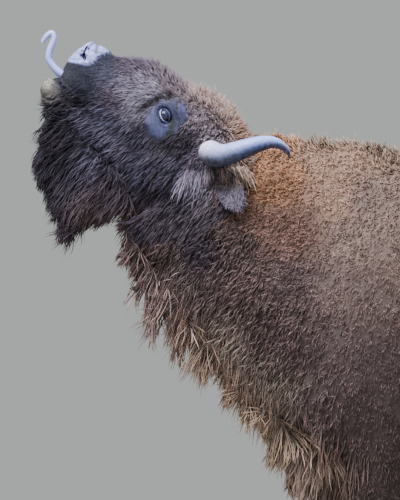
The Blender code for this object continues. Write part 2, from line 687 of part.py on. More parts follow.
MANE_LOCKS = [
    (-0.745, 0.030, 1.320, -0.795, 0.040, 1.255, 0.026),
    (-0.735, -0.030, 1.310, -0.785, -0.040, 1.240, 0.026),
    (-0.715, 0.000, 1.262, -0.752, 0.004, 1.165, 0.028),
    (-0.660, 0.038, 1.190, -0.700, 0.050, 1.055, 0.030),
    (-0.655, -0.038, 1.190, -0.690, -0.050, 1.075, 0.030),
    (-0.600, 0.000, 1.130, -0.626, 0.004, 0.980, 0.032),
    (-0.538, 0.046, 1.080, -0.556, 0.062, 0.922, 0.034),
    (-0.534, -0.046, 1.080, -0.560, -0.060, 0.935, 0.034),
    (-0.466, 0.000, 0.990, -0.486, 0.004, 0.858, 0.036),
    (-0.412, 0.055, 0.930, -0.434, 0.074, 0.800, 0.038),
    (-0.412, -0.055, 0.930, -0.438, -0.072, 0.812, 0.038),
    (-0.368, 0.000, 0.860, -0.392, 0.004, 0.758, 0.038),
    (-0.345, 0.062, 0.800, -0.362, 0.080, 0.684, 0.040),
    (-0.340, -0.062, 0.800, -0.364, -0.078, 0.692, 0.040),
    (-0.302, 0.000, 0.720, -0.318, 0.004, 0.605, 0.040),
    (-0.255, 0.062, 0.690, -0.272, 0.078, 0.548, 0.042),
    (-0.250, -0.062, 0.690, -0.270, -0.076, 0.560, 0.042),
    (-0.195, 0.000, 0.660, -0.208, 0.004, 0.498, 0.042),
    (-0.130, 0.050, 0.660, -0.145, 0.058, 0.515, 0.040),
    (-0.125, -0.050, 0.660, -0.142, -0.056, 0.525, 0.040),
    (-0.060, 0.000, 0.660, -0.072, 0.000, 0.545, 0.036),
]
LOCK_SHAPE = [(0.0, 1.0), (0.4, 0.86), (0.75, 0.48), (1.0, 0.08)]  # way along, thickness
LOCK_SAG = 0.06  # how far a lock bows forward on its way down, as a share of its length


def lock_form(root_x, root_left, root_z, tip_x, tip_left, tip_z, thick):
    """A tapered lock of hair that leaves its root and hangs down to its tip."""
    root, tip = np.array([root_x, -root_left, root_z]), np.array([tip_x, -tip_left, tip_z])
    length = np.linalg.norm(tip - root)
    rows = []
    for share, size in LOCK_SHAPE:
        bow = math.sin(math.pi * share) * LOCK_SAG * length
        point = root + share * (tip - root) - np.array([bow, 0.0, 0.0])
        rows.append((*point, thick * size, thick * size))
    return tapered_tube("lock", rows, sides=10, steps=2)


def hair_form(name, sections, locks, triangles):
    """Long hair as one solid: a body lofted from its roots to its hem, and locks that break the hem."""
    rings = [
        section_ring((rx, 0, rz), (hx, 0, hz), *shape) for rx, rz, hx, hz, *shape in smooth_rows(sections)
    ]
    forms = [closed_loft(name, rings)] + [lock_form(*lock) for lock in locks]
    return thinned(fused(name, forms, HAIR_VOXEL, 1), triangles)


# Down from the rump to the brush at the hocks: x, left, z, half thickness, half width
TAIL = [
    (1.110, 0.000, 1.300, 0.040, 0.046),
    (1.180, 0.000, 1.290, 0.038, 0.042),
    (1.235, 0.000, 1.250, 0.033, 0.035),
    (1.268, 0.002, 1.170, 0.027, 0.028),
    (1.283, 0.004, 1.050, 0.023, 0.024),
    (1.286, 0.006, 0.930, 0.023, 0.024),
]
TAIL_BRUSH = [
    (1.286, 0.006, 0.930, 0.024, 0.025),
    (1.288, 0.007, 0.860, 0.036, 0.036),
    (1.288, 0.009, 0.770, 0.044, 0.042),
    (1.286, 0.012, 0.670, 0.038, 0.036),
    (1.283, 0.015, 0.590, 0.022, 0.021),
    (1.280, 0.017, 0.535, 0.004, 0.004),
]


def hanging_form(name, rows):
    mirrored = [(x, -left, z, thick, wide) for x, left, z, thick, wide in rows]
    return tapered_tube(name, mirrored, sides=8, steps=2)


# ---------------------------------------------------------------- feet
# One claw from the sole up: height share, length ahead, length behind, half width
CLAW = [
    (0.00, 0.070, 0.048, 0.0270),
    (0.12, 0.070, 0.049, 0.0275),
    (0.55, 0.057, 0.048, 0.0265),
    (1.00, 0.041, 0.044, 0.0245),
]
CLAW_SIDES = 10
CLAW_OUT = 0.0285  # the claws' middles, each side of the foot's own middle
TOE_NARROWING, CLAW_SQUARENESS = 0.30, 0.8
CORONET_RUN = 0.10  # length over which the hair line falls from its front height to its back one
CORONET_FRONT, CORONET_BACK = 0.082, 0.050  # height of the hair line ahead of and behind the foot
DEWCLAW_HALF = (0.016, 0.013, 0.018)
DEWCLAW_BACK, DEWCLAW_OUT, DEWCLAW_Z = 0.040, 0.022, 0.118


def foot_middle(limb):
    """x and y of a foot at the floor."""
    _, x, out, _, _ = limb_stations(limb)[-2]
    return x, -out


def coronet_height(limb, x):
    """Height of the sloping hair line over a hoof at x."""
    middle, _ = foot_middle(limb)
    share = (x - middle) / CORONET_RUN + 0.5
    return CORONET_FRONT + (CORONET_BACK - CORONET_FRONT) * share


def claw_form(limb, inner):
    """A cloven hoof's half: a flat sole, a sloping front wall and the coronet on top."""
    x, y = foot_middle(limb)
    y += inner * CLAW_OUT
    rings = []
    for share, ahead, behind, half in CLAW:
        angle = np.arange(CLAW_SIDES) * 2 * math.pi / CLAW_SIDES
        c, s = np.cos(angle), np.sin(angle)
        px = x + np.where(c < 0, ahead, behind) * c
        toe = np.where(c < 0, 1 - TOE_NARROWING * c**2, 1.0)
        py = y + half * np.sign(s) * np.abs(s) ** CLAW_SQUARENESS * toe
        pz = [share * (coronet_height(limb, v) - GAP) for v in px]
        rings.append(np.stack([px, py, pz], 1))
    return closed_loft("claw", rings)


def above_hooves(limb, margin=0.0):
    """The space over the sloping hair line of one foot."""
    x, _ = foot_middle(limb)
    low, high = (-FAR, -LIMB_INNER / 2) if LIMBS[limb][1] > 0 else (LIMB_INNER / 2, FAR)
    front, back = x - 0.5, x + 0.5
    outline = [
        (front, coronet_height(limb, front) - margin),
        (back, coronet_height(limb, back) - margin),
        (back, 2.0),
        (front, 2.0),
    ]
    return prism(outline, low, high)


def dewclaw_form(limb, inner):
    x, y = foot_middle(limb)
    heel = limb_stations(limb)[-4]
    centre = (heel[1] + DEWCLAW_BACK, y + inner * DEWCLAW_OUT, DEWCLAW_Z)
    return ellipsoid(centre, DEWCLAW_HALF, math.radians(-20), 6)


# ---------------------------------------------------------------- the whole animal
def make_flesh(fine, coarse):
    """Head and jaw from the finer form; neck, trunk and limbs from the coarser one."""
    made = {}
    jaw_block = jaw_side()
    head_and_jaw = cut_by(fine, prism(head_side(), -FAR, FAR), "INTERSECT")
    for side in (1, -1):
        head_and_jaw = cut_by(head_and_jaw, eyeball(side, EYE_RADIUS + GAP))
        head_and_jaw = cut_by(head_and_jaw, eye_slit(side))
        head_and_jaw = cut_by(head_and_jaw, nostril(side))
    head_and_jaw = cut_by(head_and_jaw, tongue_form(3 * GAP))
    made["lower_jaw"] = cut_by(head_and_jaw, prism(jaw_block, -FAR, FAR), "INTERSECT")
    made["head"] = cut_by(head_and_jaw, prism(jaw_block, -FAR, FAR, GAP))
    behind_head = cut_by(coarse, prism(head_side(), -FAR, FAR, GAP))
    made["neck"] = cut_by(behind_head, prism(neck_side(), -FAR, FAR), "INTERSECT")
    trunk = cut_by(behind_head, prism(neck_side(), -FAR, FAR, GAP))
    for limb in LIMBS:
        leg = cut_by(coarse, limb_side(limb), "INTERSECT")
        made[f"{limb}_leg"] = cut_by(leg, above_hooves(limb), "INTERSECT")
        trunk = cut_by(trunk, limb_side(limb, GAP))
    made["trunk"] = trunk
    return made


COATS = {"head": "dark_coat", "lower_jaw": "dark_coat", "neck": "brown_coat", "trunk": "brown_coat"}


def largest_piece(mesh):
    """The biggest part of a mesh joined by edges, in triangles: a cut can leave crumbs behind."""
    bm = bmesh.new()
    bm.from_mesh(mesh)
    left, groups = set(bm.faces), []
    while left:
        stack = [left.pop()]
        group = list(stack)
        while stack:
            around = {f for e in stack.pop().edges if len(e.link_faces) == 2 for f in e.link_faces}
            found = around & left
            left -= found
            stack.extend(found)
            group.extend(found)
        groups.append(group)
    groups.sort(key=len)
    bmesh.ops.delete(bm, geom=[f for group in groups[:-1] for f in group], context="FACES")
    bmesh.ops.triangulate(bm, faces=bm.faces)
    bm.to_mesh(mesh)
    bm.free()
    return mesh


def head_room(fine):
    """All the space that the head and jaw take up, with a clearance round them."""
    return cut_by(swollen(fine), prism(head_side(), -FAR, FAR, GAP), "INTERSECT")


def body_room(coarse):
    """All the space that the neck, trunk and limbs take up, with a clearance round them."""
    return cut_by(swollen(coarse), prism(head_side(), -FAR, FAR))


def clear_of(mesh, rooms):
    """The mesh less the space that other pieces take up."""
    for room in rooms:
        mesh = cut_by(mesh, room.copy())
    return mesh


def add_hair(nodes, head, body):
    """Beard, throat mane and tail, each clear of what it grows from and of each other."""
    beard = hair_form("beard_form", BEARD, BEARD_LOCKS, BEARD_TRIANGLES)
    beard = cut_by(beard, prism(BEARD_SIDE, -FAR, FAR), "INTERSECT")
    mane = hair_form("mane_form", MANE, MANE_LOCKS, MANE_TRIANGLES)
    mane = cut_by(mane, prism(BEARD_SIDE, -FAR, FAR, GAP))
    tail = hanging_form("tail", TAIL)
    brush = hanging_form("tail_brush", TAIL_BRUSH)
    nodes["beard"] = (clear_of(beard, [head, body]), "long_hair")
    nodes["throat_mane"] = (clear_of(mane, [head, body]), "long_hair")
    nodes["tail"] = (clear_of(tail, [body]), "brown_coat")
    nodes["tail_brush"] = (clear_of(brush, [swollen(tail)]), "long_hair")


def add_feet(nodes, body):
    """Two claws and two dewclaws on every foot."""
    for limb, (_, side, _) in LIMBS.items():
        for word, inner in (("outer", -side), ("inner", side)):
            nodes[f"{limb}_hoof_{word}"] = (claw_form(limb, inner), "hoof")
            nodes[f"{limb}_dewclaw_{word}"] = (clear_of(dewclaw_form(limb, inner), [body]), "hoof")


def build():
    clear_scene()
    form = body_form()
    fine, coarse = thinned(form, HEAD_TRIANGLES), thinned(form, BODY_TRIANGLES)
    head, body = head_room(fine), body_room(coarse)
    flesh = make_flesh(fine, coarse)
    nodes = {name: (mesh, COATS.get(name, "leg_coat")) for name, mesh in flesh.items()}
    for word, side in (("left", 1), ("right", -1)):
        nodes[f"eye_{word}"] = (eyeball(side), "eyeball")
        nodes[f"horn_{word}"] = (clear_of(horn_form(side), [head]), "horn")
        nodes[f"ear_{word}"] = (clear_of(ear_form(side), [head, body]), "dark_coat")
    nodes["tongue"] = (tongue_form(), "tongue_skin")
    add_hair(nodes, head, body)
    add_feet(nodes, body)
    objects = [add_object(name, largest_piece(mesh), coat) for name, (mesh, coat) in nodes.items()]
    stand_on_origin(objects)


def stand_on_origin(objects):
    """Puts the origin on the floor under the middle of the model's box, by one parent empty."""
    corners = np.array([tuple(v.co) for obj in objects for v in obj.data.vertices])
    low, high = corners.min(0), corners.max(0)
    root = bpy.data.objects.new("wisent", None)
    bpy.context.scene.collection.objects.link(root)
    root.location = (-(low[0] + high[0]) / 2, -(low[1] + high[1]) / 2, -low[2])
    for obj in objects:
        obj.parent = root


build()
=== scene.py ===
import math

import bmesh
import bpy
import numpy as np
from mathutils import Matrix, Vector


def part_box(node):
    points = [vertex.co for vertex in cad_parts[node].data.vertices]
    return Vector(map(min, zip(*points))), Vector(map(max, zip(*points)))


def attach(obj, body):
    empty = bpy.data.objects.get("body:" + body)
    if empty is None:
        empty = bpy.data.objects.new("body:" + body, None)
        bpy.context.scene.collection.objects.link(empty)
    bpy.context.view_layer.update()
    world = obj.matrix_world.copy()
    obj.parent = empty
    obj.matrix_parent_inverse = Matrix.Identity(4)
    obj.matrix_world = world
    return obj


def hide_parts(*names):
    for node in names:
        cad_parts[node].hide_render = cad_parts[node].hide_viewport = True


bl_info = {
    "name": "Wisent cow, still model",
    "version": (1, 0, 0),
    "blender": (4, 5, 0),
    "location": "3D View > Sidebar > Wisent",
    "description": "Dresses the packed solids of a wisent cow with hide, coat, horns, hooves and eyes",
    "category": "Add Mesh",
}

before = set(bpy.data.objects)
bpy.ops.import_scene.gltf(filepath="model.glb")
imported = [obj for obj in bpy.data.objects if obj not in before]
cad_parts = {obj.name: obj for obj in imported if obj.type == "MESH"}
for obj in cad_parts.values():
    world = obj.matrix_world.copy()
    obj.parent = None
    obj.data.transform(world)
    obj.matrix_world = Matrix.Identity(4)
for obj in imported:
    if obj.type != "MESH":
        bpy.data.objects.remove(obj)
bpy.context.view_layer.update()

# ---------------------------------------------------------------- the animal's own axes
FACE_PITCH = math.radians(30.9)
FORE = np.array([-math.cos(FACE_PITCH), 0.0, math.sin(FACE_PITCH)])
DORSAL = np.array([math.sin(FACE_PITCH), 0.0, math.cos(FACE_PITCH)])
LEFT = np.array([0.0, -1.0, 0.0])
EYE = (0.221, -0.067, 0.104)  # along the face from the poll, out of the forehead, off the midline
EYE_RADIUS = 0.0195
FLESH = ("head", "lower_jaw", "neck", "trunk", "tail", "ear_left", "ear_right") + tuple(
    f"{end}_{side}_leg" for end in ("front", "hind") for side in ("left", "right")
)


def middle(*nodes):
    """The middle of the box that holds some nodes."""
    corners = np.array([np.array(corner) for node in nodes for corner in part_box(node)])
    return (corners.min(0) + corners.max(0)) / 2


POLL = middle("eye_left", "eye_right") - EYE[0] * FORE - EYE[1] * DORSAL
SHIFT = POLL - np.array([-0.434, 0.0, 1.618])  # from the body's own numbers to the frame


def head_point(along, up, out):
    """A place on the head, on its left where out is positive."""
    off = np.multiply.outer(along, FORE) + np.multiply.outer(up, DORSAL)
    return POLL + off - np.multiply.outer(out, (0, 1, 0))


def head_axes(points):
    """Along the face, out of the forehead and to the left, for every point."""
    off = points - POLL
    return off @ FORE, off @ DORSAL, -off[..., 1]


def linear(code):
    """An sRGB hex colour, or the name of one of the coat's colours, as linear red, green and blue."""
    code = COLOURS.get(code, code)
    srgb = np.array([int(code[i : i + 2], 16) / 255 for i in (1, 3, 5)])
    return np.where(srgb <= 0.04045, srgb / 12.92, ((srgb + 0.055) / 1.055) ** 2.4)


def unit(vectors):
    """The vectors, each drawn out or in to the length 1."""
    return vectors / np.maximum(np.linalg.norm(vectors, axis=-1, keepdims=True), 1e-9)


def mirrored(side, x, out, z):
    """Places or directions from x, out and z; out is to the left where the side is 1, else to the right."""
    return np.stack(np.broadcast_arrays(x, -side * out, z), -1)


def smooth_step(x, low, high):
    """0 below low, 1 above high, and an S curve between."""
    t = np.clip((x - low) / (high - low), 0.0, 1.0)
    return t * t * (3 - 2 * t)


def fade(x, low, high):
    """1 below low, 0 above high, and an S curve between."""
    return 1 - smooth_step(x, low, high)


def bell(x, width):
    """1 at zero, falling off on both sides as a bell curve of the given width."""
    return np.exp(-((x / width) ** 2))


def blend(first, second, share):
    """The first where the share is 0, the second where it is 1."""
    return first * (1 - share) + second * share


# ---------------------------------------------------------------- colours of coat and skin
COLOURS = {
    # the nose's pale blue is partly its own colour and partly a painted sky reflection on the wet pad
    "nose": "#878cc2",
    "lip": "#716a66",
    "slate": "#36385c",
    "muzzle": "#232538",
    "steel": "#464459",
    "bridge": "#524756",
    "mauve": "#7e7689",
    "brush": "#635660",
    "crown": "#8c766f",
    "ash": "#80727d",
    "smoke": "#5c5264",
    "jaw": "#4a4659",
    "cheek": "#3e3a4a",
    "soot": "#2f2b35",
    "throat": "#463c47",
    "beard": "#57494b",
    "lock": "#857b90",
    "tan": "#a08a7e",
    "rufous": "#ab7e62",
    "russet": "#83635a",
    "dun": "#ab8877",
    "fawn": "#907770",
    "ridge": "#7a6558",
    "bracken": "#806a66",
    "drab": "#6e5a5b",
    "umber": "#604f4e",
    "loam": "#7f6e6e",
    "mane": "#9a8780",
    "fringe": "#a18c7e",
    "peat": "#54454a",
}

# How the coat grows. Head places are along, up and out; body places are x, out and z.
# Each row: place, the way the hair lies, its length in mm, how far it stands up, curl, colour.
HEAD_GROWTH = [
    ((0.500, 0.000, 0.030), (1.0, 0.0, 0.0), 4, 0.15, 0.1, "nose"),
    ((0.435, -0.005, 0.045), (1.0, -0.1, 0.1), 9, 0.30, 0.2, "muzzle"),
    ((0.392, 0.005, 0.050), (1.0, 0.0, 0.1), 16, 0.40, 0.3, "bridge"),
    ((0.340, 0.030, 0.030), (0.9, 0.3, 0.1), 24, 0.60, 0.4, "bridge"),
    ((0.286, 0.045, 0.030), (0.8, 0.6, 0.1), 30, 0.80, 0.4, "brush"),
    ((0.219, 0.045, 0.040), (0.6, 0.8, 0.1), 31, 0.85, 0.5, "brush"),
    ((0.154, 0.045, 0.060), (0.4, 0.9, 0.1), 30, 0.80, 0.8, "crown"),
    ((0.073, 0.035, 0.070), (0.0, 1.0, 0.2), 27, 0.75, 1.0, "crown"),
    ((0.010, 0.005, 0.070), (-0.6, 0.8, 0.2), 24, 0.60, 1.0, "dun"),
    ((0.414, -0.045, 0.070), (0.9, -0.4, 0.1), 13, 0.30, 0.2, "steel"),
    ((0.344, -0.052, 0.085), (0.9, -0.5, 0.1), 19, 0.35, 0.3, "mauve"),
    ((0.293, -0.028, 0.092), (0.9, -0.3, 0.1), 17, 0.35, 0.3, "mauve"),
    ((0.230, 0.000, 0.098), (0.8, 0.2, 0.1), 17, 0.40, 0.4, "brush"),
    ((0.366, -0.098, 0.080), (0.6, -0.8, 0.1), 18, 0.30, 0.3, "bridge"),
    ((0.300, -0.098, 0.093), (0.4, -0.9, 0.1), 17, 0.30, 0.3, "mauve"),
    ((0.368, -0.148, 0.070), (0.6, -0.8, 0.1), 25, 0.30, 0.3, "steel"),
    ((0.459, -0.105, 0.070), (0.6, -0.8, 0.1), 9, 0.20, 0.1, "muzzle"),
    ((0.462, -0.155, 0.052), (0.6, -0.8, 0.1), 27, 0.35, 0.3, "soot"),
    ((0.476, -0.205, 0.032), (0.6, -0.8, 0.1), 46, 0.35, 0.3, "soot"),
    ((0.545, -0.165, 0.030), (0.6, -0.8, 0.0), 5, 0.20, 0.1, "lip"),
    ((0.515, -0.090, 0.045), (0.6, -0.8, 0.0), 5, 0.15, 0.1, "muzzle"),
    ((0.548, -0.110, 0.025), (0.6, -0.8, 0.0), 5, 0.15, 0.1, "muzzle"),
    ((0.390, -0.194, 0.056), (0.5, -0.9, 0.1), 48, 0.30, 0.3, "jaw"),
    ((0.311, -0.163, 0.070), (0.4, -0.9, 0.1), 38, 0.30, 0.3, "jaw"),
    ((0.255, -0.146, 0.093), (0.3, -0.9, 0.1), 27, 0.30, 0.3, "cheek"),
    ((0.188, -0.122, 0.115), (0.2, -1.0, 0.1), 20, 0.30, 0.3, "soot"),
    ((0.128, -0.086, 0.126), (0.2, -1.0, 0.1), 20, 0.35, 0.5, "soot"),
    ((0.140, -0.020, 0.121), (-0.2, -1.0, 0.1), 15, 0.40, 0.6, "ash"),
    ((0.068, -0.050, 0.129), (0.2, -1.0, 0.2), 22, 0.55, 0.9, "ash"),
    ((0.087, -0.127, 0.125), (0.3, -0.9, 0.1), 26, 0.35, 0.5, "smoke"),
    ((0.140, -0.175, 0.117), (0.3, -0.9, 0.1), 33, 0.30, 0.4, "cheek"),
    ((0.212, -0.218, 0.095), (0.3, -0.9, 0.1), 52, 0.30, 0.4, "jaw"),
    ((0.133, -0.268, 0.078), (0.2, -1.0, 0.1), 46, 0.30, 0.4, "throat"),
    ((0.080, -0.220, 0.108), (0.1, -1.0, 0.1), 38, 0.30, 0.4, "soot"),
    ((0.073, -0.314, 0.100), (0.1, -1.0, 0.1), 46, 0.30, 0.4, "throat"),
    ((0.040, -0.150, 0.122), (-0.2, -1.0, 0.2), 34, 0.35, 0.4, "lock"),
    ((-0.028, -0.117, 0.122), (-0.8, -0.5, 0.2), 26, 0.35, 0.5, "tan"),
    ((-0.066, -0.165, 0.149), (0.1, -1.0, 0.1), 30, 0.30, 0.5, "throat"),
    ((-0.060, -0.260, 0.160), (0.1, -1.0, 0.1), 36, 0.30, 0.5, "throat"),
]
BODY_GROWTH = [
    ((-0.386, 0.065, 1.582), (-0.9, 0.1, -0.3), 17, 0.45, 1.0, "rufous"),
    ((-0.364, 0.145, 1.470), (-0.9, 0.1, -0.3), 16, 0.45, 1.0, "rufous"),
    ((-0.378, 0.185, 1.386), (-0.6, 0.1, -0.8), 19, 0.40, 1.0, "russet"),
    ((-0.308, 0.112, 1.526), (-0.9, 0.0, -0.3), 16, 0.45, 1.0, "rufous"),
    ((-0.224, 0.079, 1.554), (-0.9, 0.0, -0.3), 16, 0.45, 1.0, "dun"),
    ((-0.140, 0.063, 1.568), (-0.9, 0.0, -0.3), 17, 0.45, 1.0, "dun"),
    ((-0.196, 0.147, 1.442), (-0.8, 0.0, -0.5), 16, 0.45, 1.0, "dun"),
    ((-0.084, 0.151, 1.442), (-0.8, 0.0, -0.6), 15, 0.45, 1.0, "fawn"),
    ((-0.280, 0.191, 1.358), (-0.8, 0.0, -0.5), 17, 0.45, 1.0, "russet"),
    ((-0.154, 0.202, 1.330), (-0.8, 0.0, -0.6), 15, 0.45, 1.0, "fawn"),
    ((-0.042, 0.242, 1.302), (-0.4, 0.0, -0.9), 14, 0.40, 1.0, "fawn"),
    ((-0.448, 0.192, 1.330), (-0.5, 0.1, -0.9), 24, 0.35, 0.8, "umber"),
    ((-0.560, 0.156, 1.302), (-0.6, 0.1, -0.8), 34, 0.30, 0.6, "throat"),
    ((-0.672, 0.098, 1.302), (-0.6, 0.1, -0.8), 46, 0.30, 0.5, "umber"),
    ((-0.504, 0.177, 1.218), (-0.6, 0.1, -0.8), 34, 0.30, 0.6, "drab"),
    ((-0.616, 0.110, 1.218), (-0.6, 0.1, -0.8), 48, 0.30, 0.5, "loam"),
    ((-0.308, 0.235, 1.218), (-0.7, 0.0, -0.7), 19, 0.40, 0.9, "drab"),
    ((-0.196, 0.236, 1.218), (-0.7, 0.0, -0.7), 15, 0.45, 1.0, "bracken"),
    ((-0.084, 0.273, 1.162), (-0.3, 0.0, -0.9), 14, 0.40, 0.9, "bracken"),
    ((-0.392, 0.216, 1.106), (-0.6, 0.1, -0.8), 30, 0.35, 0.7, "umber"),
    ((-0.476, 0.142, 1.050), (-0.6, 0.1, -0.8), 48, 0.30, 0.5, "mane"),
    ((-0.308, 0.233, 1.050), (-0.6, 0.0, -0.8), 24, 0.35, 0.8, "drab"),
    ((-0.196, 0.262, 1.022), (-0.5, 0.0, -0.9), 17, 0.40, 0.8, "drab"),
    ((-0.084, 0.272, 0.994), (-0.2, 0.0, -1.0), 14, 0.35, 0.8, "drab"),
    ((-0.336, 0.169, 0.910), (-0.5, 0.1, -0.9), 44, 0.30, 0.5, "mane"),
    ((-0.224, 0.239, 0.882), (-0.3, 0.0, -0.9), 26, 0.30, 0.6, "drab"),
    ((-0.112, 0.255, 0.854), (-0.2, 0.0, -1.0), 16, 0.30, 0.6, "umber"),
    ((-0.028, 0.255, 0.826), (-0.1, 0.0, -1.0), 15, 0.30, 0.5, "umber"),
    ((-0.252, 0.109, 0.742), (-0.3, 0.1, -0.9), 56, 0.25, 0.4, "mane"),
    ((-0.140, 0.215, 0.714), (-0.1, 0.0, -1.0), 22, 0.30, 0.4, "umber"),
    ((-0.330, 0.000, 1.625), (-0.5, 0.0, 0.9), 26, 0.80, 0.7, "rufous"),
    ((-0.220, 0.000, 1.622), (-0.5, 0.0, 0.9), 32, 0.90, 0.5, "ridge"),
    ((-0.060, 0.000, 1.612), (-0.4, 0.0, 0.9), 30, 0.90, 0.5, "ridge"),
    ((0.100, 0.000, 1.570), (0.5, 0.0, 0.5), 26, 0.70, 0.5, "ridge"),
    ((0.100, 0.150, 1.450), (0.2, 0.0, -0.9), 16, 0.40, 0.8, "fawn"),
    ((0.250, 0.200, 1.350), (0.8, 0.0, -0.5), 17, 0.35, 0.6, "bracken"),
    ((0.100, 0.270, 1.100), (0.2, 0.0, -0.9), 16, 0.35, 0.7, "drab"),
    ((0.300, 0.300, 1.100), (0.8, 0.0, -0.6), 19, 0.30, 0.5, "drab"),
    ((0.300, 0.250, 0.850), (0.8, 0.0, -0.6), 24, 0.30, 0.5, "umber"),
    ((0.300, 0.000, 0.720), (1.0, 0.0, -0.1), 30, 0.30, 0.4, "umber"),
    ((0.400, 0.000, 1.480), (1.0, 0.0, 0.1), 22, 0.45, 0.5, "ridge"),
    ((0.600, 0.000, 1.440), (1.0, 0.0, 0.0), 20, 0.35, 0.4, "bracken"),
    ((0.720, 0.260, 1.200), (0.9, 0.0, -0.4), 20, 0.30, 0.5, "drab"),
    ((0.700, 0.200, 0.880), (0.9, 0.0, -0.3), 26, 0.30, 0.4, "umber"),
    ((0.960, 0.240, 1.150), (0.6, 0.0, -0.8), 18, 0.30, 0.4, "drab"),
    ((1.020, 0.000, 1.400), (1.0, 0.0, -0.2), 18, 0.30, 0.4, "bracken"),
    ((1.210, 0.070, 1.180), (0.3, 0.0, -1.0), 20, 0.30, 0.3, "umber"),
    ((0.930, 0.200, 0.850), (0.3, 0.0, -1.0), 18, 0.30, 0.3, "umber"),
    ((1.010, 0.160, 0.620), (0.2, 0.0, -1.0), 14, 0.25, 0.2, "umber"),
    ((1.060, 0.145, 0.400), (0.0, 0.0, -1.0), 11, 0.25, 0.1, "peat"),
    ((1.030, 0.143, 0.120), (0.0, 0.0, -1.0), 13, 0.25, 0.1, "peat"),
    ((-0.060, 0.170, 0.640), (0.0, 0.0, -1.0), 17, 0.30, 0.3, "umber"),
    ((-0.060, 0.150, 0.420), (0.0, 0.0, -1.0), 12, 0.25, 0.1, "peat"),
    ((-0.060, 0.148, 0.220), (0.0, 0.0, -1.0), 11, 0.25, 0.1, "peat"),
    ((-0.090, 0.148, 0.090), (0.0, 0.0, -1.0), 13, 0.25, 0.1, "peat"),
    ((1.240, 0.000, 1.240), (0.8, 0.0, -0.7), 20, 0.30, 0.2, "umber"),
    ((1.285, 0.000, 1.000), (0.0, 0.0, -1.0), 24, 0.25, 0.2, "umber"),
]
LONG_GROWTH = [
    ((-0.950, 0.000, 1.660), (-0.8, 0.1, -0.6), 50, 0.20, 0.3, "soot"),
    ((-0.924, 0.045, 1.596), (-0.8, 0.1, -0.6), 64, 0.20, 0.3, "soot"),
    ((-0.840, 0.041, 1.568), (-0.8, 0.1, -0.6), 60, 0.20, 0.3, "jaw"),
    ((-0.990, 0.000, 1.600), (-0.6, 0.1, -0.8), 85, 0.20, 0.4, "soot"),
    ((-0.970, 0.000, 1.500), (-0.4, 0.1, -0.9), 90, 0.15, 0.4, "soot"),
    ((-0.930, 0.000, 1.400), (-0.2, 0.1, -1.0), 90, 0.12, 0.3, "throat"),
    ((-0.784, 0.051, 1.470), (-0.7, 0.1, -0.7), 80, 0.20, 0.3, "throat"),
    ((-0.830, 0.030, 1.420), (-0.6, 0.1, -0.8), 80, 0.18, 0.3, "beard"),
    ((-0.740, 0.030, 1.390), (-0.7, 0.1, -0.7), 70, 0.18, 0.3, "beard"),
    ((-0.756, 0.044, 1.320), (-0.6, 0.1, -0.8), 80, 0.20, 0.3, "umber"),
    ((-0.700, 0.045, 1.190), (-0.4, 0.1, -0.9), 90, 0.20, 0.3, "loam"),
    ((-0.600, 0.050, 1.130), (-0.4, 0.1, -0.9), 95, 0.20, 0.3, "mane"),
    ((-0.480, 0.060, 1.000), (-0.35, 0.1, -0.9), 105, 0.20, 0.3, "fringe"),
    ((-0.360, 0.070, 0.820), (-0.25, 0.1, -0.95), 115, 0.18, 0.3, "fringe"),
    ((-0.240, 0.060, 0.650), (-0.3, 0.1, -1.0), 120, 0.15, 0.3, "mane"),
    ((-0.100, 0.040, 0.680), (-0.1, 0.1, -1.0), 100, 0.15, 0.3, "umber"),
    ((1.288, 0.000, 0.780), (0.0, 0.0, -1.0), 120, 0.10, 0.2, "soot"),
]


def growth_rows():
    """Every growth row turned into the frame, on both sides: places, lies, numbers and colours."""
    places, lies, numbers, tints = [], [], [], []
    for (along, up, out), (da, du, do), *rest, colour in HEAD_GROWTH:
        for side in (1, -1):
            places.append(head_point(along, up, side * out))
            lies.append(da * FORE + du * DORSAL + side * do * LEFT)
            numbers.append(rest)
            tints.append(linear(colour))
    for (x, out, z), (dx, do, dz), *rest, colour in BODY_GROWTH + LONG_GROWTH:
        for side in (1, -1):
            places.append(SHIFT + mirrored(side, x, out, z))
            lies.append(mirrored(side, dx, do, dz))
            numbers.append(rest)
            tints.append(linear(colour))
    return np.array(places), np.array(lies), np.array(numbers, float), np.array(tints)


GROWTH = growth_rows()
HEAD_ROWS = slice(0, 2 * len(HEAD_GROWTH))  # each row stands there twice, once for each side
BODY_ROWS = slice(HEAD_ROWS.stop, HEAD_ROWS.stop + 2 * len(BODY_GROWTH))
LONG_ROWS = slice(BODY_ROWS.stop, None)
NAPE_SHADE = 0.55  # how dark the coat is in the fold behind the poll
# The line behind poll, ear and jaw, from the top down: x and z
NAPE = np.array([
    (-0.405, 1.80), (-0.405, 1.60), (-0.425, 1.49), (-0.475, 1.40), (-0.560, 1.345), (-0.900, 1.330),
])


def near_line(a, b, line):
    """Distance from (a, b) to a polyline, and how far along it the nearest place is, 0 to 1."""
    line = np.array(line, float)
    best, share = np.full(a.shape, 9.0), np.zeros(a.shape)
    for i in range(len(line) - 1):
        way = line[i + 1] - line[i]
        t = np.clip(((a - line[i, 0]) * way[0] + (b - line[i, 1]) * way[1]) / (way @ way), 0, 1)
        gap = np.hypot(a - line[i, 0] - t * way[0], b - line[i, 1] - t * way[1])
        share = np.where(gap < best, (i + t) / (len(line) - 1), share)
        best = np.minimum(best, gap)
    return best, share


def ahead_of_nape(points):
    """Signed distance ahead of the line behind poll, ear and jaw; the head is on the positive side."""
    p = points - SHIFT
    gap, _ = near_line(p[..., 0], p[..., 2], NAPE)
    limit = np.interp(p[..., 0], NAPE[::-1, 0], NAPE[::-1, 1])
    ahead = (p[..., 0] < NAPE[0, 0]) & (p[..., 2] > limit)
    return np.where(ahead, gap, -gap)


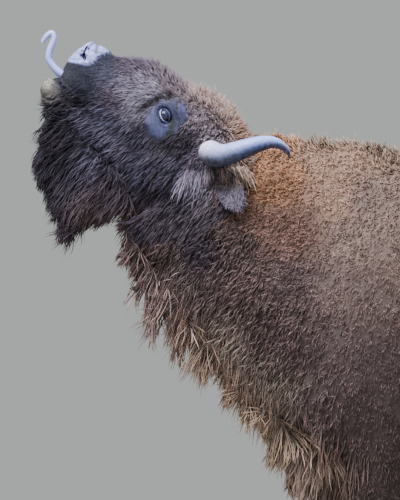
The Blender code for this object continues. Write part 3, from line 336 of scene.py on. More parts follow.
def mixed_rows(points, rows):
    """Growth from some of the rows: near ones count most, by the fourth power of their distance."""
    places, lies, numbers, tints = (part[rows] for part in GROWTH)
    made = []
    for block in np.array_split(points, 1 + len(points) // 40000):
        gap = ((block[:, None, :] - places[None]) ** 2).sum(2)
        weight = 1.0 / (gap + 0.0004) ** 2
        weight /= weight.sum(1)[:, None]
        made.append(np.hstack([weight @ lies, weight @ numbers, weight @ tints]))
    return np.vstack(made)


def growth_at(points, long_hair=False):
    """Lie, numbers (length, stand, curl) and colour of the coat at any points."""
    if long_hair:
        made = mixed_rows(points, LONG_ROWS)
    else:
        gap = ahead_of_nape(points)
        share = smooth_step(gap, -0.008, 0.006)[:, None]
        made = blend(mixed_rows(points, BODY_ROWS), mixed_rows(points, HEAD_ROWS), share)
        high = smooth_step((points - SHIFT)[:, 2], 1.40, 1.44)
        made[:, 6:] *= 1 - NAPE_SHADE * (high * bell(gap, 0.008))[:, None]
    return made[:, :3], made[:, 3:6], made[:, 6:]


def ripple(points, size, seed):
    """Soft noise between -1 and 1 with bumps of about the given size: a sum of sine waves."""
    rng = np.random.default_rng(seed)
    ways = rng.normal(size=(7, 3))
    ways *= (2 * math.pi / size) * rng.uniform(0.6, 1.3, (7, 1)) / np.linalg.norm(ways, axis=1)[:, None]
    return np.sin(points @ ways.T + rng.uniform(0, 2 * math.pi, 7)).sum(1) / 3.2


# ---------------------------------------------------------------- mesh tools
def settings():
    """The add-on's settings, as the panel shows them."""
    return bpy.context.scene.wisent


def add_piece(name, points, faces, materials, uv=None, tints=None, values=None):
    """One finished piece riding on the body: its mesh, colours, numbers and bake map."""
    mesh = bpy.data.meshes.new(name)
    faces = np.asarray(faces, np.int32)
    sides = faces.shape[1]
    mesh.vertices.add(len(points))
    mesh.vertices.foreach_set("co", np.asarray(points, np.float32).ravel())
    mesh.loops.add(faces.size)
    mesh.loops.foreach_set("vertex_index", faces.ravel())
    mesh.polygons.add(len(faces))
    mesh.polygons.foreach_set("loop_start", np.arange(0, faces.size, sides, dtype=np.int32))
    mesh.polygons.foreach_set("loop_total", np.full(len(faces), sides, np.int32))
    mesh.update(calc_edges=True)
    mesh.validate()
    mesh.shade_smooth()
    if tints is not None:
        layer = mesh.color_attributes.new("tint", "FLOAT_COLOR", "POINT")
        full = np.ones((len(points), 4), np.float32)
        full[:, :3] = tints
        layer.data.foreach_set("color", full.ravel())
    for key, numbers in (values or {}).items():
        layer = mesh.attributes.new(key, "FLOAT", "POINT")
        layer.data.foreach_set("value", np.asarray(numbers, np.float32))
    if uv is not None:
        layer = mesh.uv_layers.new(name="OFBake")
        layer.data.foreach_set("uv", np.asarray(uv, np.float32).ravel())
    for made in materials:
        mesh.materials.append(made)
    obj = bpy.data.objects.new(name, mesh)
    bpy.context.scene.collection.objects.link(obj)
    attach(obj, "root")
    return obj


def take_in(whole, bm):
    """Add one mesh to another and free it."""
    spare = bpy.data.meshes.new("spare")
    bm.to_mesh(spare)
    bm.free()
    whole.from_mesh(spare)
    bpy.data.meshes.remove(spare)


def merged_copy(*nodes):
    """Copies of some solids as one mesh, each merged into a closed surface first."""
    whole = bmesh.new()
    for node in nodes:
        bm = bmesh.new()
        bm.from_mesh(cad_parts[node].data)
        bmesh.ops.remove_doubles(bm, verts=bm.verts, dist=1e-5)
        take_in(whole, bm)
    return whole


def points_of(mesh):
    """The points of a mesh, one row each."""
    points = np.empty(len(mesh.vertices) * 3)
    mesh.vertices.foreach_get("co", points)
    return points.reshape(-1, 3)


def faces_of(mesh, sides):
    """The faces of a mesh whose faces all have this many sides."""
    faces = np.empty(len(mesh.loops), np.int32)
    mesh.loops.foreach_get("vertex_index", faces)
    return faces.reshape(-1, sides)


def voxelled(bm, size):
    """Points and four-sided faces of one skin over everything in the mesh, gaps closed."""
    mesh = bpy.data.meshes.new("voxelled")
    bm.to_mesh(mesh)
    bm.free()
    obj = bpy.data.objects.new("voxelled", mesh)
    bpy.context.scene.collection.objects.link(obj)
    remesh = obj.modifiers.new("Skin", "REMESH")
    remesh.mode = "VOXEL"
    remesh.voxel_size = size
    bpy.context.view_layer.update()
    made = bpy.data.meshes.new_from_object(obj.evaluated_get(bpy.context.evaluated_depsgraph_get()))
    bpy.data.objects.remove(obj)
    points, faces = points_of(made), faces_of(made, 4)
    bpy.data.meshes.remove(made)
    return points, faces


def neighbour_mean(points, faces):
    """For every point, the mean of the points that share an edge with it."""
    a, b = faces.ravel(), np.roll(faces, -1, 1).ravel()
    count = np.bincount(a, minlength=len(points)).astype(float)
    total = np.stack([np.bincount(a, points[b, k], len(points)) for k in range(3)], 1)
    return total / np.maximum(count, 1)[:, None]


def relaxed(points, faces, times, held=0.0):
    """Points drawn halfway to their neighbours' mean, many times over, less where held."""
    for _ in range(times):
        points = points + 0.5 * (1 - held) * (neighbour_mean(points, faces) - points)
    return points


def faired(points, faces, times, held=0.0):
    """Facets smoothed away, then the volume that was lost put back in broad strokes."""
    soft = relaxed(points, faces, times, held)
    return soft + relaxed(points - soft, faces, times * 2)


def normals_of(points, faces):
    """Unit normals at the points: the sum of the face normals round each."""
    corner = points[faces]
    across = np.cross(corner[:, 2] - corner[:, 0], corner[:, -1] - corner[:, 1])
    total = np.stack([
        sum(np.bincount(faces[:, k], across[:, axis], len(points)) for k in range(faces.shape[1]))
        for axis in range(3)
    ], 1)
    return total / np.maximum(np.linalg.norm(total, axis=1), 1e-12)[:, None]


def curve_through(rows, count):
    """Rows of numbers joined by a smooth curve through all of them, sampled count times."""
    rows = np.array(rows, float)
    ends = np.vstack([2 * rows[0] - rows[1], rows, 2 * rows[-1] - rows[-2]])
    place = np.linspace(0, len(rows) - 1, count)
    i = np.minimum(place.astype(int), len(rows) - 2)
    t = (place - i)[:, None]
    a, b, c, d = ends[i], ends[i + 1], ends[i + 2], ends[i + 3]
    return b + 0.5 * ((c - a) * t + (2 * a - 5 * b + 4 * c - d) * t**2 + (3 * b - a - 3 * c + d) * t**3)


def full_turn(count):
    """Evenly spaced angles, once round."""
    return np.arange(count) * 2 * math.pi / count


def square_to(ahead, way):
    """The given way turned square to each of the directions ahead."""
    way = np.array(way, float)
    return unit(way - (ahead @ way)[:, None] * ahead)


def tube_grid(path, thick, wide, sides, power=2.0, across=(0, 1, 0)):
    """Rings carried along a path: each a superellipse, thick in the bend and wide across."""
    ahead = unit(np.gradient(path, axis=0))
    cross = square_to(ahead, across)
    rise = np.cross(ahead, cross)
    turn = full_turn(sides)
    c, s = (np.sign(wave) * np.abs(wave) ** (2 / power) for wave in (np.cos(turn), np.sin(turn)))
    risen = (thick[:, None] * s)[..., None] * rise[:, None]
    return path[:, None] + risen + (wide[:, None] * c)[..., None] * cross[:, None]


def grid_faces(rows, sides):
    """Quads between neighbouring rings of a closed tube."""
    i, k = np.meshgrid(np.arange(rows - 1), np.arange(sides), indexing="ij")
    here, after = i * sides + k, i * sides + (k + 1) % sides
    return np.stack([here, here + sides, after + sides, after], -1).reshape(-1, 4)


def as_triangles(faces):
    """Four-sided faces cut into triangles; triangles stay as they are."""
    return faces if faces.shape[1] == 3 else np.vstack([faces[:, [0, 1, 2]], faces[:, [0, 2, 3]]])


def faced_outwards(points, faces):
    """The triangles of a closed surface, turned over where its volume comes out negative."""
    corner = points[faces] - points[0]
    volume = np.einsum("ij,ij->i", corner[:, 0], np.cross(corner[:, 1], corner[:, 2])).sum()
    return faces if volume > 0 else faces[:, ::-1]


def closed_tube(rings):
    """Points and triangles of a tube closed at both ends by a point, faces outwards."""
    rows, sides = rings.shape[:2]
    points = np.vstack([rings.reshape(-1, 3), rings[0].mean(0), rings[-1].mean(0)])
    k = np.arange(sides)
    last = (rows - 1) * sides
    first_fan = np.stack([np.full(sides, rows * sides), k, (k + 1) % sides], 1)
    last_fan = np.stack([np.full(sides, rows * sides + 1), last + (k + 1) % sides, last + k], 1)
    faces = np.vstack([as_triangles(grid_faces(rows, sides)), first_fan, last_fan])
    return points, faced_outwards(points, faces)


# ---------------------------------------------------------------- the hide
HEAD_VOXEL, BODY_VOXEL = 0.0034, 0.0120
SEAM_TOP, SEAM_LOW = (-0.280, 1.66), (-0.620, 1.10)  # x and z of the line where head and body skins pass
FACE_SIDE = 0.05  # how far off the midline the sides of the face begin
EYE_LONG = np.array((-0.807, -0.589))  # from the inner to the outer corner of the eye: along, up
EYE_HIGH = np.array((-0.589, 0.807))  # towards the upper lid
NOSTRIL = (0.4985, -0.026)
NOSTRIL_LONG, NOSTRIL_WIDE = (-0.304, -0.953), (0.953, -0.304)  # down and across the slit: along, up
# Lines on the face, each place along and up: the mouth, the fold behind the nostril, the crease over the eye
MOUTH = [(0.62, -0.122), (0.52, -0.140), (0.44, -0.158), (0.37, -0.176)]
WING = [(0.488, 0.014), (0.474, -0.012)]
BROW = [(0.283, -0.078), (0.254, -0.034), (0.233, -0.012), (0.212, -0.016), (0.199, -0.034)]
EAR_OPENS = (-0.30, 1.0, -0.10)  # the way the hollow of the ear looks: x, out and z
EAR_ROWS, EAR_STRIPS = 22, 9
# The ear from root to tip: x, out, z and half its width
EAR = [
    (-0.512, 0.100, 1.530, 0.016),
    (-0.503, 0.134, 1.510, 0.026),
    (-0.487, 0.172, 1.479, 0.040),
    (-0.468, 0.196, 1.448, 0.036),
    (-0.455, 0.208, 1.428, 0.022),
    (-0.449, 0.212, 1.418, 0.004),
]


def ahead_of_seam(points):
    """Signed distance ahead of the slanted plane where the two skins pass."""
    way = np.array(SEAM_LOW) - SEAM_TOP
    across = np.array((way[1], -way[0])) / np.linalg.norm(way)
    off = (points - SHIFT)[:, (0, 2)] - SEAM_TOP
    return off @ across


def off_eye(points):
    """Along and across the slit, from the eye's middle."""
    along, up, _ = head_axes(points)
    off = np.stack([along - EYE[0], up - EYE[1]], -1)
    return off @ EYE_LONG, off @ EYE_HIGH


# The edge of the bare nose, from the lip over the bridge: up and along
NOSE_EDGE = np.array([
    (-0.100, 0.575), (-0.074, 0.533), (-0.064, 0.500), (-0.057, 0.478), (-0.038, 0.466), (-0.019, 0.466),
    (-0.006, 0.456), (0.008, 0.444), (0.040, 0.440),
])


def on_nose(along, up):
    """1 on the bare nose: ahead of its edge, which runs from the upper lip back over the bridge."""
    edge = np.interp(up, *NOSE_EDGE.T)
    return smooth_step(along - edge, -0.009, 0.009) * smooth_step(up, -0.115, -0.090)


def bare_skin(points):
    """1 where the skin is bare: round the eyes, on the nose and along the lips."""
    along, up, out = head_axes(points)
    a, b = off_eye(points)
    round_eye = np.hypot((a - 0.008 + 0.12 * b) / 0.053, (b - 0.004) / 0.072)
    round_eye = fade(round_eye + 0.10 * ripple(points, 0.030, 14), 0.72, 1.10) * (np.abs(out) > FACE_SIDE)
    mouth, _ = near_line(along, up, MOUTH)
    lips = fade(mouth, 0.005, 0.010) * (along > 0.46)
    return np.clip(round_eye + on_nose(along, up) + lips, 0, 1) * (ahead_of_seam(points) > 0.05)


def nose_colour_and_reflection(points):
    """The pale blue of the nose pad, softly mottled: partly its own colour and partly a painted sky
    reflection on the wet pad.
    """
    return linear("nose") * (1 + 0.28 * ripple(points, 0.014, 4))[:, None]


def skin_colour(points, tints):
    """The coat's colour deepened in its shade, with slate skin, a pale nose, and painted shade in its folds
    and pits.
    """
    along, up, out = head_axes(points)
    a, b = off_eye(points)
    by_sides = np.abs(out) > FACE_SIDE
    colour = tints * 0.36 * (1 + 0.15 * ripple(points, 0.02, 2))[:, None]
    slate = linear("slate") * (1 + 0.22 * ripple(points, 0.012, 3))[:, None]
    lid_shade = smooth_step(b, 0.010, 0.024) * (0.55 - 0.45 * smooth_step(b, 0.034, 0.046))
    slate = slate * (1 - lid_shade)[:, None]
    front = smooth_step(along, 0.40, 0.44)[:, None]
    colour = blend(colour, blend(slate, nose_colour_and_reflection(points), front), bare_skin(points)[:, None])
    mouth, _ = near_line(along, up, MOUTH)
    rim = fade(mouth, 0.006, 0.012) * (along > 0.34)
    colour = blend(colour, linear("#1f1f2a"), rim[:, None])
    lip = smooth_step(along, 0.528, 0.545) * smooth_step(-up, 0.134, 0.142) * fade(-up, 0.165, 0.185)
    colour = blend(colour, linear("lip"), lip[:, None])
    wing, _ = near_line(along, up, WING)
    brow, _ = near_line(along, up, BROW)
    pit = np.hypot(*(off / size for off, size in zip(off_nostril(along, up), (0.0235, 0.0078))))
    spot = np.hypot((along - 0.442) / 0.011, (up + 0.004) / 0.010)
    # Painted shade: the mouth's slit, the fold behind the nostril, the nostril's pit, the fold behind the eye
    # and the crease over it are darkened where shade falls in them; the spot on the muzzle is simply darker.
    folds = (
        0.85 * fade(mouth, 0.002, 0.005) * (along > 0.36),
        0.64 * fade(wing, 0.001, 0.007),
        fade(pit, 0.85, 1.15) * (np.abs(out) > 0.02),
        0.45 * fade(spot, 0.5, 1.2),
        0.90 * shade_behind_eye(a, b) * by_sides,
        0.85 * fade(brow, 0.001, 0.0045) * by_sides,
    )
    dark = (np.max(folds, axis=0) * (ahead_of_seam(points) > 0.05))[:, None]
    return np.maximum(blend(colour, 0.010, dark), 0.002)


def shade_behind_eye(a, b):
    """1 in the painted shade of the fold that runs down from the outer corner of the eye."""
    gap, _ = near_line(a, b, [(0.014, 0.014), (0.036, 0.008), (0.062, -0.010)])
    return fade(gap, 0.004, 0.014)


def creased(points):
    """How much light reaches the hair: little along the crease over each eye."""
    along, up, out = head_axes(points)
    gap, _ = near_line(along, up, BROW)
    return (1 - 0.85 * (np.abs(out) > FACE_SIDE) * fade(gap, 0.004, 0.014))[:, None]


def carved_head(points, normals):
    """The head's skin with lips, nostrils, eye sockets, brow crease and nose folds pressed in."""
    along, up, out = head_axes(points)
    by_sides = np.abs(out) > FACE_SIDE
    mouth, _ = near_line(along, up, MOUTH)
    depth = 0.006 * bell(mouth, 0.004) * smooth_step(along, 0.36, 0.42)
    depth -= 0.0022 * bell(mouth - 0.009, 0.005) * smooth_step(along, 0.36, 0.44)
    a, b = off_nostril(along, up)
    depth += (np.abs(out) > 0.03) * 0.018 * fade(np.hypot(a / 0.027, b / 0.010), 0.6, 1.2)
    wing, _ = near_line(along, up, WING)
    depth += 0.0035 * bell(wing, 0.004)
    brow, _ = near_line(along, up, BROW)
    depth += by_sides * (0.0035 * bell(brow, 0.004))
    points = points - normals * depth[:, None]
    a, b = off_eye(points)
    socket = fade(np.hypot(a / 0.023, b / 0.018), 0.85, 1.15)
    sink = np.clip(np.abs(out) - (EYE[2] - 0.002), 0, None) * socket * by_sides
    return points - np.outer(sink * np.sign(out), LEFT)


def nostril_bow(a):
    """How far the slit of the nostril is bowed forwards, a down from its middle."""
    return 0.007 * (1 - (a / 0.024) ** 2)


def off_nostril(along, up):
    """Down and across the comma of the nostril, its middle bowed forwards."""
    along, up = along - NOSTRIL[0], up - NOSTRIL[1]
    a = along * NOSTRIL_LONG[0] + up * NOSTRIL_LONG[1]
    return a, along * NOSTRIL_WIDE[0] + up * NOSTRIL_WIDE[1] - nostril_bow(a)


def nostril_rings(side, skin):
    """A nostril: rings from the floor of a comma-shaped slit, dark with painted shade, over its rolled rim to
    the skin.
    """
    turn = full_turn(56)
    c, s = np.cos(turn), np.sin(turn)
    share = np.linspace(0, 1, 17)[:, None]
    slit = 0.0024 + 0.0058 * smooth_step(c, -0.1, 0.9)
    reach = np.interp(share, (0, 0.4, 1), (0.15, 1.0, 1.0))
    wide = smooth_step(share, 0.4, 1.0)
    a = c * (0.0240 * reach + 0.0110 * wide)
    b = s * (slit * reach + 0.0105 * wide)
    b = b + nostril_bow(a)
    along, up = (NOSTRIL[k] + NOSTRIL_LONG[k] * a + NOSTRIL_WIDE[k] * b for k in (0, 1))
    fore = smooth_step(-s, -0.2, 0.8)
    out = nearest_level(along, up, skin) + 0.001
    out = out - 0.016 * fade(share, 0.0, 0.36)
    out = out + (0.0030 + 0.0016 * fore) * bell(share - 0.54, 0.12)
    out = out - 0.0040 * smooth_step(share, 0.75, 1.0)
    top = head_point(along, up, side * out)
    under = head_point(along, up, side * (out - 0.002))
    colour = nose_colour_and_reflection(top.reshape(-1, 3)).reshape(top.shape)
    # Painted shade: the floor of the slit is nearly black, and the low end of the rim is darker where shade
    # falls.
    floor = fade(share, 0.32, 0.48) * np.ones(len(turn))
    low = smooth_step(share, 0.60, 0.95) * smooth_step(c, 0.2, 0.8)
    dark = np.maximum(floor, 0.30 * low)[..., None]
    colour = blend(colour, 0.003, dark)
    return np.concatenate([top, under[::-1]], 0), np.concatenate([colour, colour[::-1]], 0)


def nearest_level(along, up, skin):
    """How far out the skin stands at these places: the mean of its six nearest points, by nearness."""
    skin_along, skin_up, skin_out = skin
    gap = (along.ravel()[:, None] - skin_along) ** 2 + (up.ravel()[:, None] - skin_up) ** 2
    nearest = np.argpartition(gap, 6, axis=1)[:, :6]
    near_gap = np.take_along_axis(gap, nearest, 1) + 1e-8
    level = (skin_out[nearest] / near_gap).sum(1) / (1 / near_gap).sum(1)
    return level.reshape(along.shape)


def ear_rings(side):
    """An ear's leaf: rings of an outer and an inner wall, cupped about a curve from root to tip."""
    rows = curve_through(EAR, EAR_ROWS)
    path = SHIFT + mirrored(side, *rows[:, :3].T)
    half = np.maximum(rows[:, 3], 0.002) - 0.003
    ahead = unit(np.gradient(path, axis=0))
    face = square_to(ahead, mirrored(side, *EAR_OPENS))
    across = np.cross(ahead, face)
    reach = np.linspace(-1, 1, EAR_STRIPS)
    bend = 0.55 * half[:, None] * (1 - reach**2)
    spread = (half[:, None] * reach)[..., None] * across[:, None]
    inner = path[:, None] + spread - bend[..., None] * face[:, None]
    wall = 0.0045 * (0.3 + 0.7 * (1 - reach**2))
    outer = inner - np.broadcast_to(wall, bend.shape)[..., None] * face[:, None]
    return np.concatenate([inner, outer[:, ::-1]], 1)


def lid_rings(side, skin):
    """Eyelids: rings from the rim of an almond slit on the eyeball out to the skin, and back under.

    Each ring is the almond grown towards an oval; its height follows the ball at the rim and the
    skin at the edge, with a rounded lid, a deep crease behind it and finer folds between.
    """
    turn = full_turn(72)
    c, s = np.cos(turn), np.sin(turn)
    upper, creases = s > 0, s > -0.3
    rim_a = 0.0183 * c
    rim_b = np.where(upper, 0.0108, 0.0092) * np.sign(s) * np.abs(s) ** 1.2
    share = np.linspace(0, 1, 18)[:, None]
    grow = share ** 1.05
    a = rim_a + grow * (0.038 * c - 0.002 - rim_a)
    b = rim_b + grow * (0.030 * s - rim_b)
    ball = EYE[2] + np.sqrt(np.clip(EYE_RADIUS**2 - a**2 - b**2, 1e-6, None)) + 0.0008
    along, up = (EYE[k] + a * EYE_LONG[k] + b * EYE_HIGH[k] for k in (0, 1))
    level = nearest_level(along, up, skin)
    out = blend(ball, level + 0.001, smooth_step(share, 0.05, 0.75))
    out = out + np.where(upper, 0.0040, 0.0026) * bell(share - 0.16, 0.11)
    out = out - np.where(creases, 0.0034, 0.0016) * bell(share - 0.42, 0.07)
    out = out + 0.0012 * bell(share - 0.58, 0.07)
    out = out - 0.0012 * bell(share - 0.72, 0.05)
    out = out - 0.0035 * smooth_step(share, 0.82, 1.0)
    top = head_point(along, up, side * out)
    under = head_point(along, up, side * (out - 0.0016 - 0.002 * share))
    rings = np.concatenate([top, under[::-1], top[:1]], 0)
    colour = np.tile(linear("slate"), (len(share), len(turn), 1)) * 0.75
    # Painted reflection: the lids' wet rim, most of all the lower one, is painted bright bluish white; this
    # is partly its own pale margin and partly the shine of the wet skin.
    wet = bell(share - 0.07, 0.065) * np.where(upper, 0.10, 1.0)
    colour = blend(colour, linear("#aab2dc"), wet[..., None])
    # Painted shade: dark in the crease behind each lid and in the fold behind the eye; the rim next to the
    # ball is simply darker, most on the upper lid.
    crease_shade = bell(share - 0.42, 0.06) * np.where(creases, 0.9, 0.4)
    rim_dark = bell(share, 0.03) * np.where(upper, 1.0, 0.3)
    fold = 0.90 * shade_behind_eye(a, b) * smooth_step(share, 0.15, 0.35)
    dark = np.maximum(np.maximum(crease_shade, fold), rim_dark)[..., None]
    colour = blend(colour, linear("#17171f"), dark)
    return rings, np.concatenate([colour, colour[::-1], colour[:1]], 0)


def unwrap(points, region):
    """Each region laid out as a cylinder about its own axis: angle one way, length the other."""
    p = points - SHIFT
    along, up, out = head_axes(points)
    x, y, z = p[..., 0], p[..., 1], p[..., 2]
    turn_head = np.arctan2(out, up + 0.12)
    turn_body = np.arctan2(y, z - 1.12)
    left = y < 0
    foot_x = np.where(x < 0.45, np.where(left, -0.11, -0.02), np.where(left, 1.06, 0.95))
    turn_leg = np.arctan2(np.abs(y) - 0.150, x - foot_x)
    angle = np.select([region == 0, region == 1], [turn_head, turn_body], turn_leg)
    length = np.select([region == 0, region == 1], [0.62 - along, (x + 0.75) / 2.1], z / 1.35)
    return angle / (2 * math.pi) + 0.5, length


# Where each region lies in the bake map: left, bottom, width, height; the legs stand side by side
LEG_CHARTS = [(left, 0.51, 0.10, 0.48) for left in (0.01, 0.13, 0.25, 0.37)]
CHARTS = np.array([(0.01, 0.01, 0.48, 0.48), (0.51, 0.01, 0.48, 0.98), *LEG_CHARTS])


def region_of(points, head):
    """0 the head and its neck, 1 the trunk, 2 to 5 the legs."""
    p = points - SHIFT
    leg = (p[..., 2] < 0.74) & (np.abs(p[..., 1]) > 0.03)
    which = 2 + (p[..., 1] > 0) + 2 * (p[..., 0] > 0.45)
    return np.where(head, 0, np.where(leg, which, 1))


def bake_uv(points, region, pivot=None):
    """Bake map places; corners of one face stay together where the angle runs full circle."""
    turn, length = unwrap(points, region)
    if pivot is not None:
        turn = turn - np.round(turn - pivot)
    chart = CHARTS[region]
    return np.stack([
        chart[..., 0] + np.clip(turn, -0.02, 1.02) * chart[..., 2],
        chart[..., 1] + np.clip(length, 0, 1) * chart[..., 3],
    ], -1)


def shell(bm, voxel, fair, head):
    """One skin over some solids, faired, drawn in by the depth of the coat."""
    points, faces = voxelled(bm, voxel)
    held = np.zeros(len(points))
    if head:
        held = 0.75 * smooth_step(head_axes(points)[0], 0.40, 0.48)
    points = faired(points, faces, fair, held[:, None])
    normals = normals_of(points, faces)
    _, numbers, _ = growth_at(points)
    depth = np.clip(0.80 * numbers[:, 0] * numbers[:, 1] / 1000, 0.0010, 0.020)
    depth *= 1 - 0.8 * bare_skin(points)
    gap = ahead_of_seam(points)
    sunk = fade(gap, 0.0, 0.05) if head else smooth_step(gap, 0.0, 0.05)
    points = points - normals * (depth + 0.014 * sunk)[:, None]
    if head:
        points = carved_head(points, normals)
        points = relaxed(points, faces, 1)
    return points, faces


def joined(parts):
    """Several parts, each points, faces and tints, as one."""
    start = np.cumsum([0] + [len(part[0]) for part in parts])
    points, tints = (np.vstack([part[k] for part in parts]) for k in (0, 2))
    return points, np.vstack([part[1] + offset for part, offset in zip(parts, start)]), tints


def head_solids():
    """The head, the jaw, the eyes and the part of the neck ahead of the seam, as one mesh."""
    head = merged_copy("head", "lower_jaw", "eye_left", "eye_right")
    neck = merged_copy("neck")
    way = np.array(SEAM_LOW) - SEAM_TOP
    cut = bmesh.ops.bisect_plane(
        neck, geom=[*neck.verts, *neck.edges, *neck.faces], clear_inner=True,
        plane_co=SHIFT + np.array((SEAM_TOP[0], 0, SEAM_TOP[1])), plane_no=(way[1], 0, -way[0]),
    )
    bmesh.ops.edgeloop_fill(neck, edges=[e for e in cut["geom_cut"] if isinstance(e, bmesh.types.BMEdge)])
    take_in(head, neck)
    return head


def ear_part(side):
    """An ear: smoke-grey behind, pale inside, and darkened with painted shade down in its root."""
    points, faces = closed_tube(ear_rings(side))
    inside = np.tile(np.r_[np.ones(EAR_STRIPS), np.zeros(EAR_STRIPS)], EAR_ROWS)
    # Painted shade: the lining darkens towards the root of the ear, where shade falls in its hollow.
    deep = np.repeat(fade(np.linspace(0, 1, EAR_ROWS), 0.35, 0.55), 2 * EAR_STRIPS)
    lining = blend(linear("lock") * 0.55, linear("#2c2a33"), np.r_[deep, 0, 0][:, None])
    return points, faces, np.where(np.r_[inside, 0, 0][:, None] > 0, lining, linear("smoke") * 0.7)


def make_hide():
    """One skin over all the flesh: each part's kind is 0 head, 1 body, 2 ear, 3 lids or nostril."""
    legs = [node for node in FLESH if node.endswith("_leg")]
    parts, kinds, bares = [], [], []

    def take(part, kind, bare):
        """Keep one part with its kind and how bare its points are."""
        parts.append(part)
        kinds.append(np.full(len(part[0]), float(kind)))
        bares.append(np.broadcast_to(bare, len(part[0])))

    for bm, voxel, fair, is_head in (
        (head_solids(), HEAD_VOXEL, 14, True),
        (merged_copy("trunk", "neck", "tail", *legs), BODY_VOXEL, 7, False),
    ):
        points, faces = shell(bm, voxel, fair, is_head)
        _, _, tints = growth_at(points)
        part = points, as_triangles(faces), skin_colour(points, tints)
        take(part, 0 if is_head else 1, bare_skin(points))
    skin_along, skin_up, skin_out = head_axes(parts[0][0])
    for side in (1, -1):
        near = (np.hypot(skin_along - EYE[0], skin_up - EYE[1]) < 0.06) & (side * skin_out > 0.06)
        near &= np.hypot(*off_eye(parts[0][0])) > 0.024
        rings, colour = lid_rings(side, (skin_along[near], skin_up[near], side * skin_out[near]))
        points = rings[:-1].reshape(-1, 3)
        faces = as_triangles(grid_faces(len(rings), rings.shape[1]) % len(points))
        take((points, faces[:, ::side], colour[:-1].reshape(-1, 3)), 3, 1.0)
        near = (np.hypot(skin_along - NOSTRIL[0], skin_up - NOSTRIL[1]) < 0.05) & (side * skin_out > 0.03)
        near &= np.hypot(*off_nostril(skin_along, skin_up)) > 0.014
        rings, colour = nostril_rings(side, (skin_along[near], skin_up[near], side * skin_out[near]))
        points, faces = closed_tube(rings)
        take((points, faces, np.vstack([colour.reshape(-1, 3), colour[0, :1], colour[0, :1]])), 3, 1.0)
        take(ear_part(side), 2, 0.0)
    points, faces, tints = joined(parts)
    kind, bare = np.concatenate(kinds), np.concatenate(bares)
    centre = points[faces].mean(1)
    region = region_of(centre, kind[faces[:, 0]] != 1)
    pivot, _ = unwrap(centre, region)
    uv = bake_uv(points[faces], np.repeat(region[:, None], 3, 1), pivot[:, None])
    hide = add_piece("hide", points, faces, [hide_material()], uv, tints, {"kind": kind, "bare": bare})
    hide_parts(*FLESH)


# ---------------------------------------------------------------- the coat
CORE_VOXEL = 0.011
SKIN_CELL = 0.030  # a core within about this much of the skin is let into it
SIDE_CELL = 0.006  # how finely the outline of the solids is kept


def hide_surface():
    """Points, triangles, normals, kinds and bareness of the finished hide."""
    mesh = bpy.data.objects["hide"].data
    points, faces = points_of(mesh), faces_of(mesh, 3)
    kind, bare = np.empty((2, len(points)))
    mesh.attributes["kind"].data.foreach_get("value", kind)
    mesh.attributes["bare"].data.foreach_get("value", bare)
    return points, faces, normals_of(points, faces), kind, bare


def scattered(points, faces, normals, weight, count, rng):
    """Random places on the triangles, more where the weight is high: places and normals."""
    corner = points[faces]
    area = np.linalg.norm(np.cross(corner[:, 1] - corner[:, 0], corner[:, 2] - corner[:, 0]), axis=1)
    chance = area * weight
    picked = rng.choice(len(faces), count, p=chance / chance.sum())
    a, b = rng.random(count), rng.random(count)
    flip = a + b > 1
    a, b = np.where(flip, 1 - a, a), np.where(flip, 1 - b, b)
    mix = np.stack([1 - a - b, a, b], 1)[..., None]
    place = (corner[picked] * mix).sum(1)
    normal = (normals[faces[picked]] * mix).sum(1)
    return place, normal / np.linalg.norm(normal, axis=1)[:, None]


def clump_pull(place, size, rng):
    """For every root, the way to the middle of its clump: roots that share a cell of a jittered grid."""
    jitter = 0.35 * size * np.stack([ripple(place, 3 * size, s) for s in (11, 12, 13)], 1)
    cell = np.floor((place + jitter) / size).astype(np.int64)
    key = (cell[:, 0] * 73856093) ^ (cell[:, 1] * 19349663) ^ (cell[:, 2] * 83492791)
    _, group = np.unique(key, return_inverse=True)
    count = np.bincount(group)
    middle_of = np.stack([np.bincount(group, place[:, k]) / count for k in range(3)], 1)
    shade, reach = rng.uniform(-1, 1, (2, len(count)))
    return middle_of[group] - place, shade[group], reach[group]


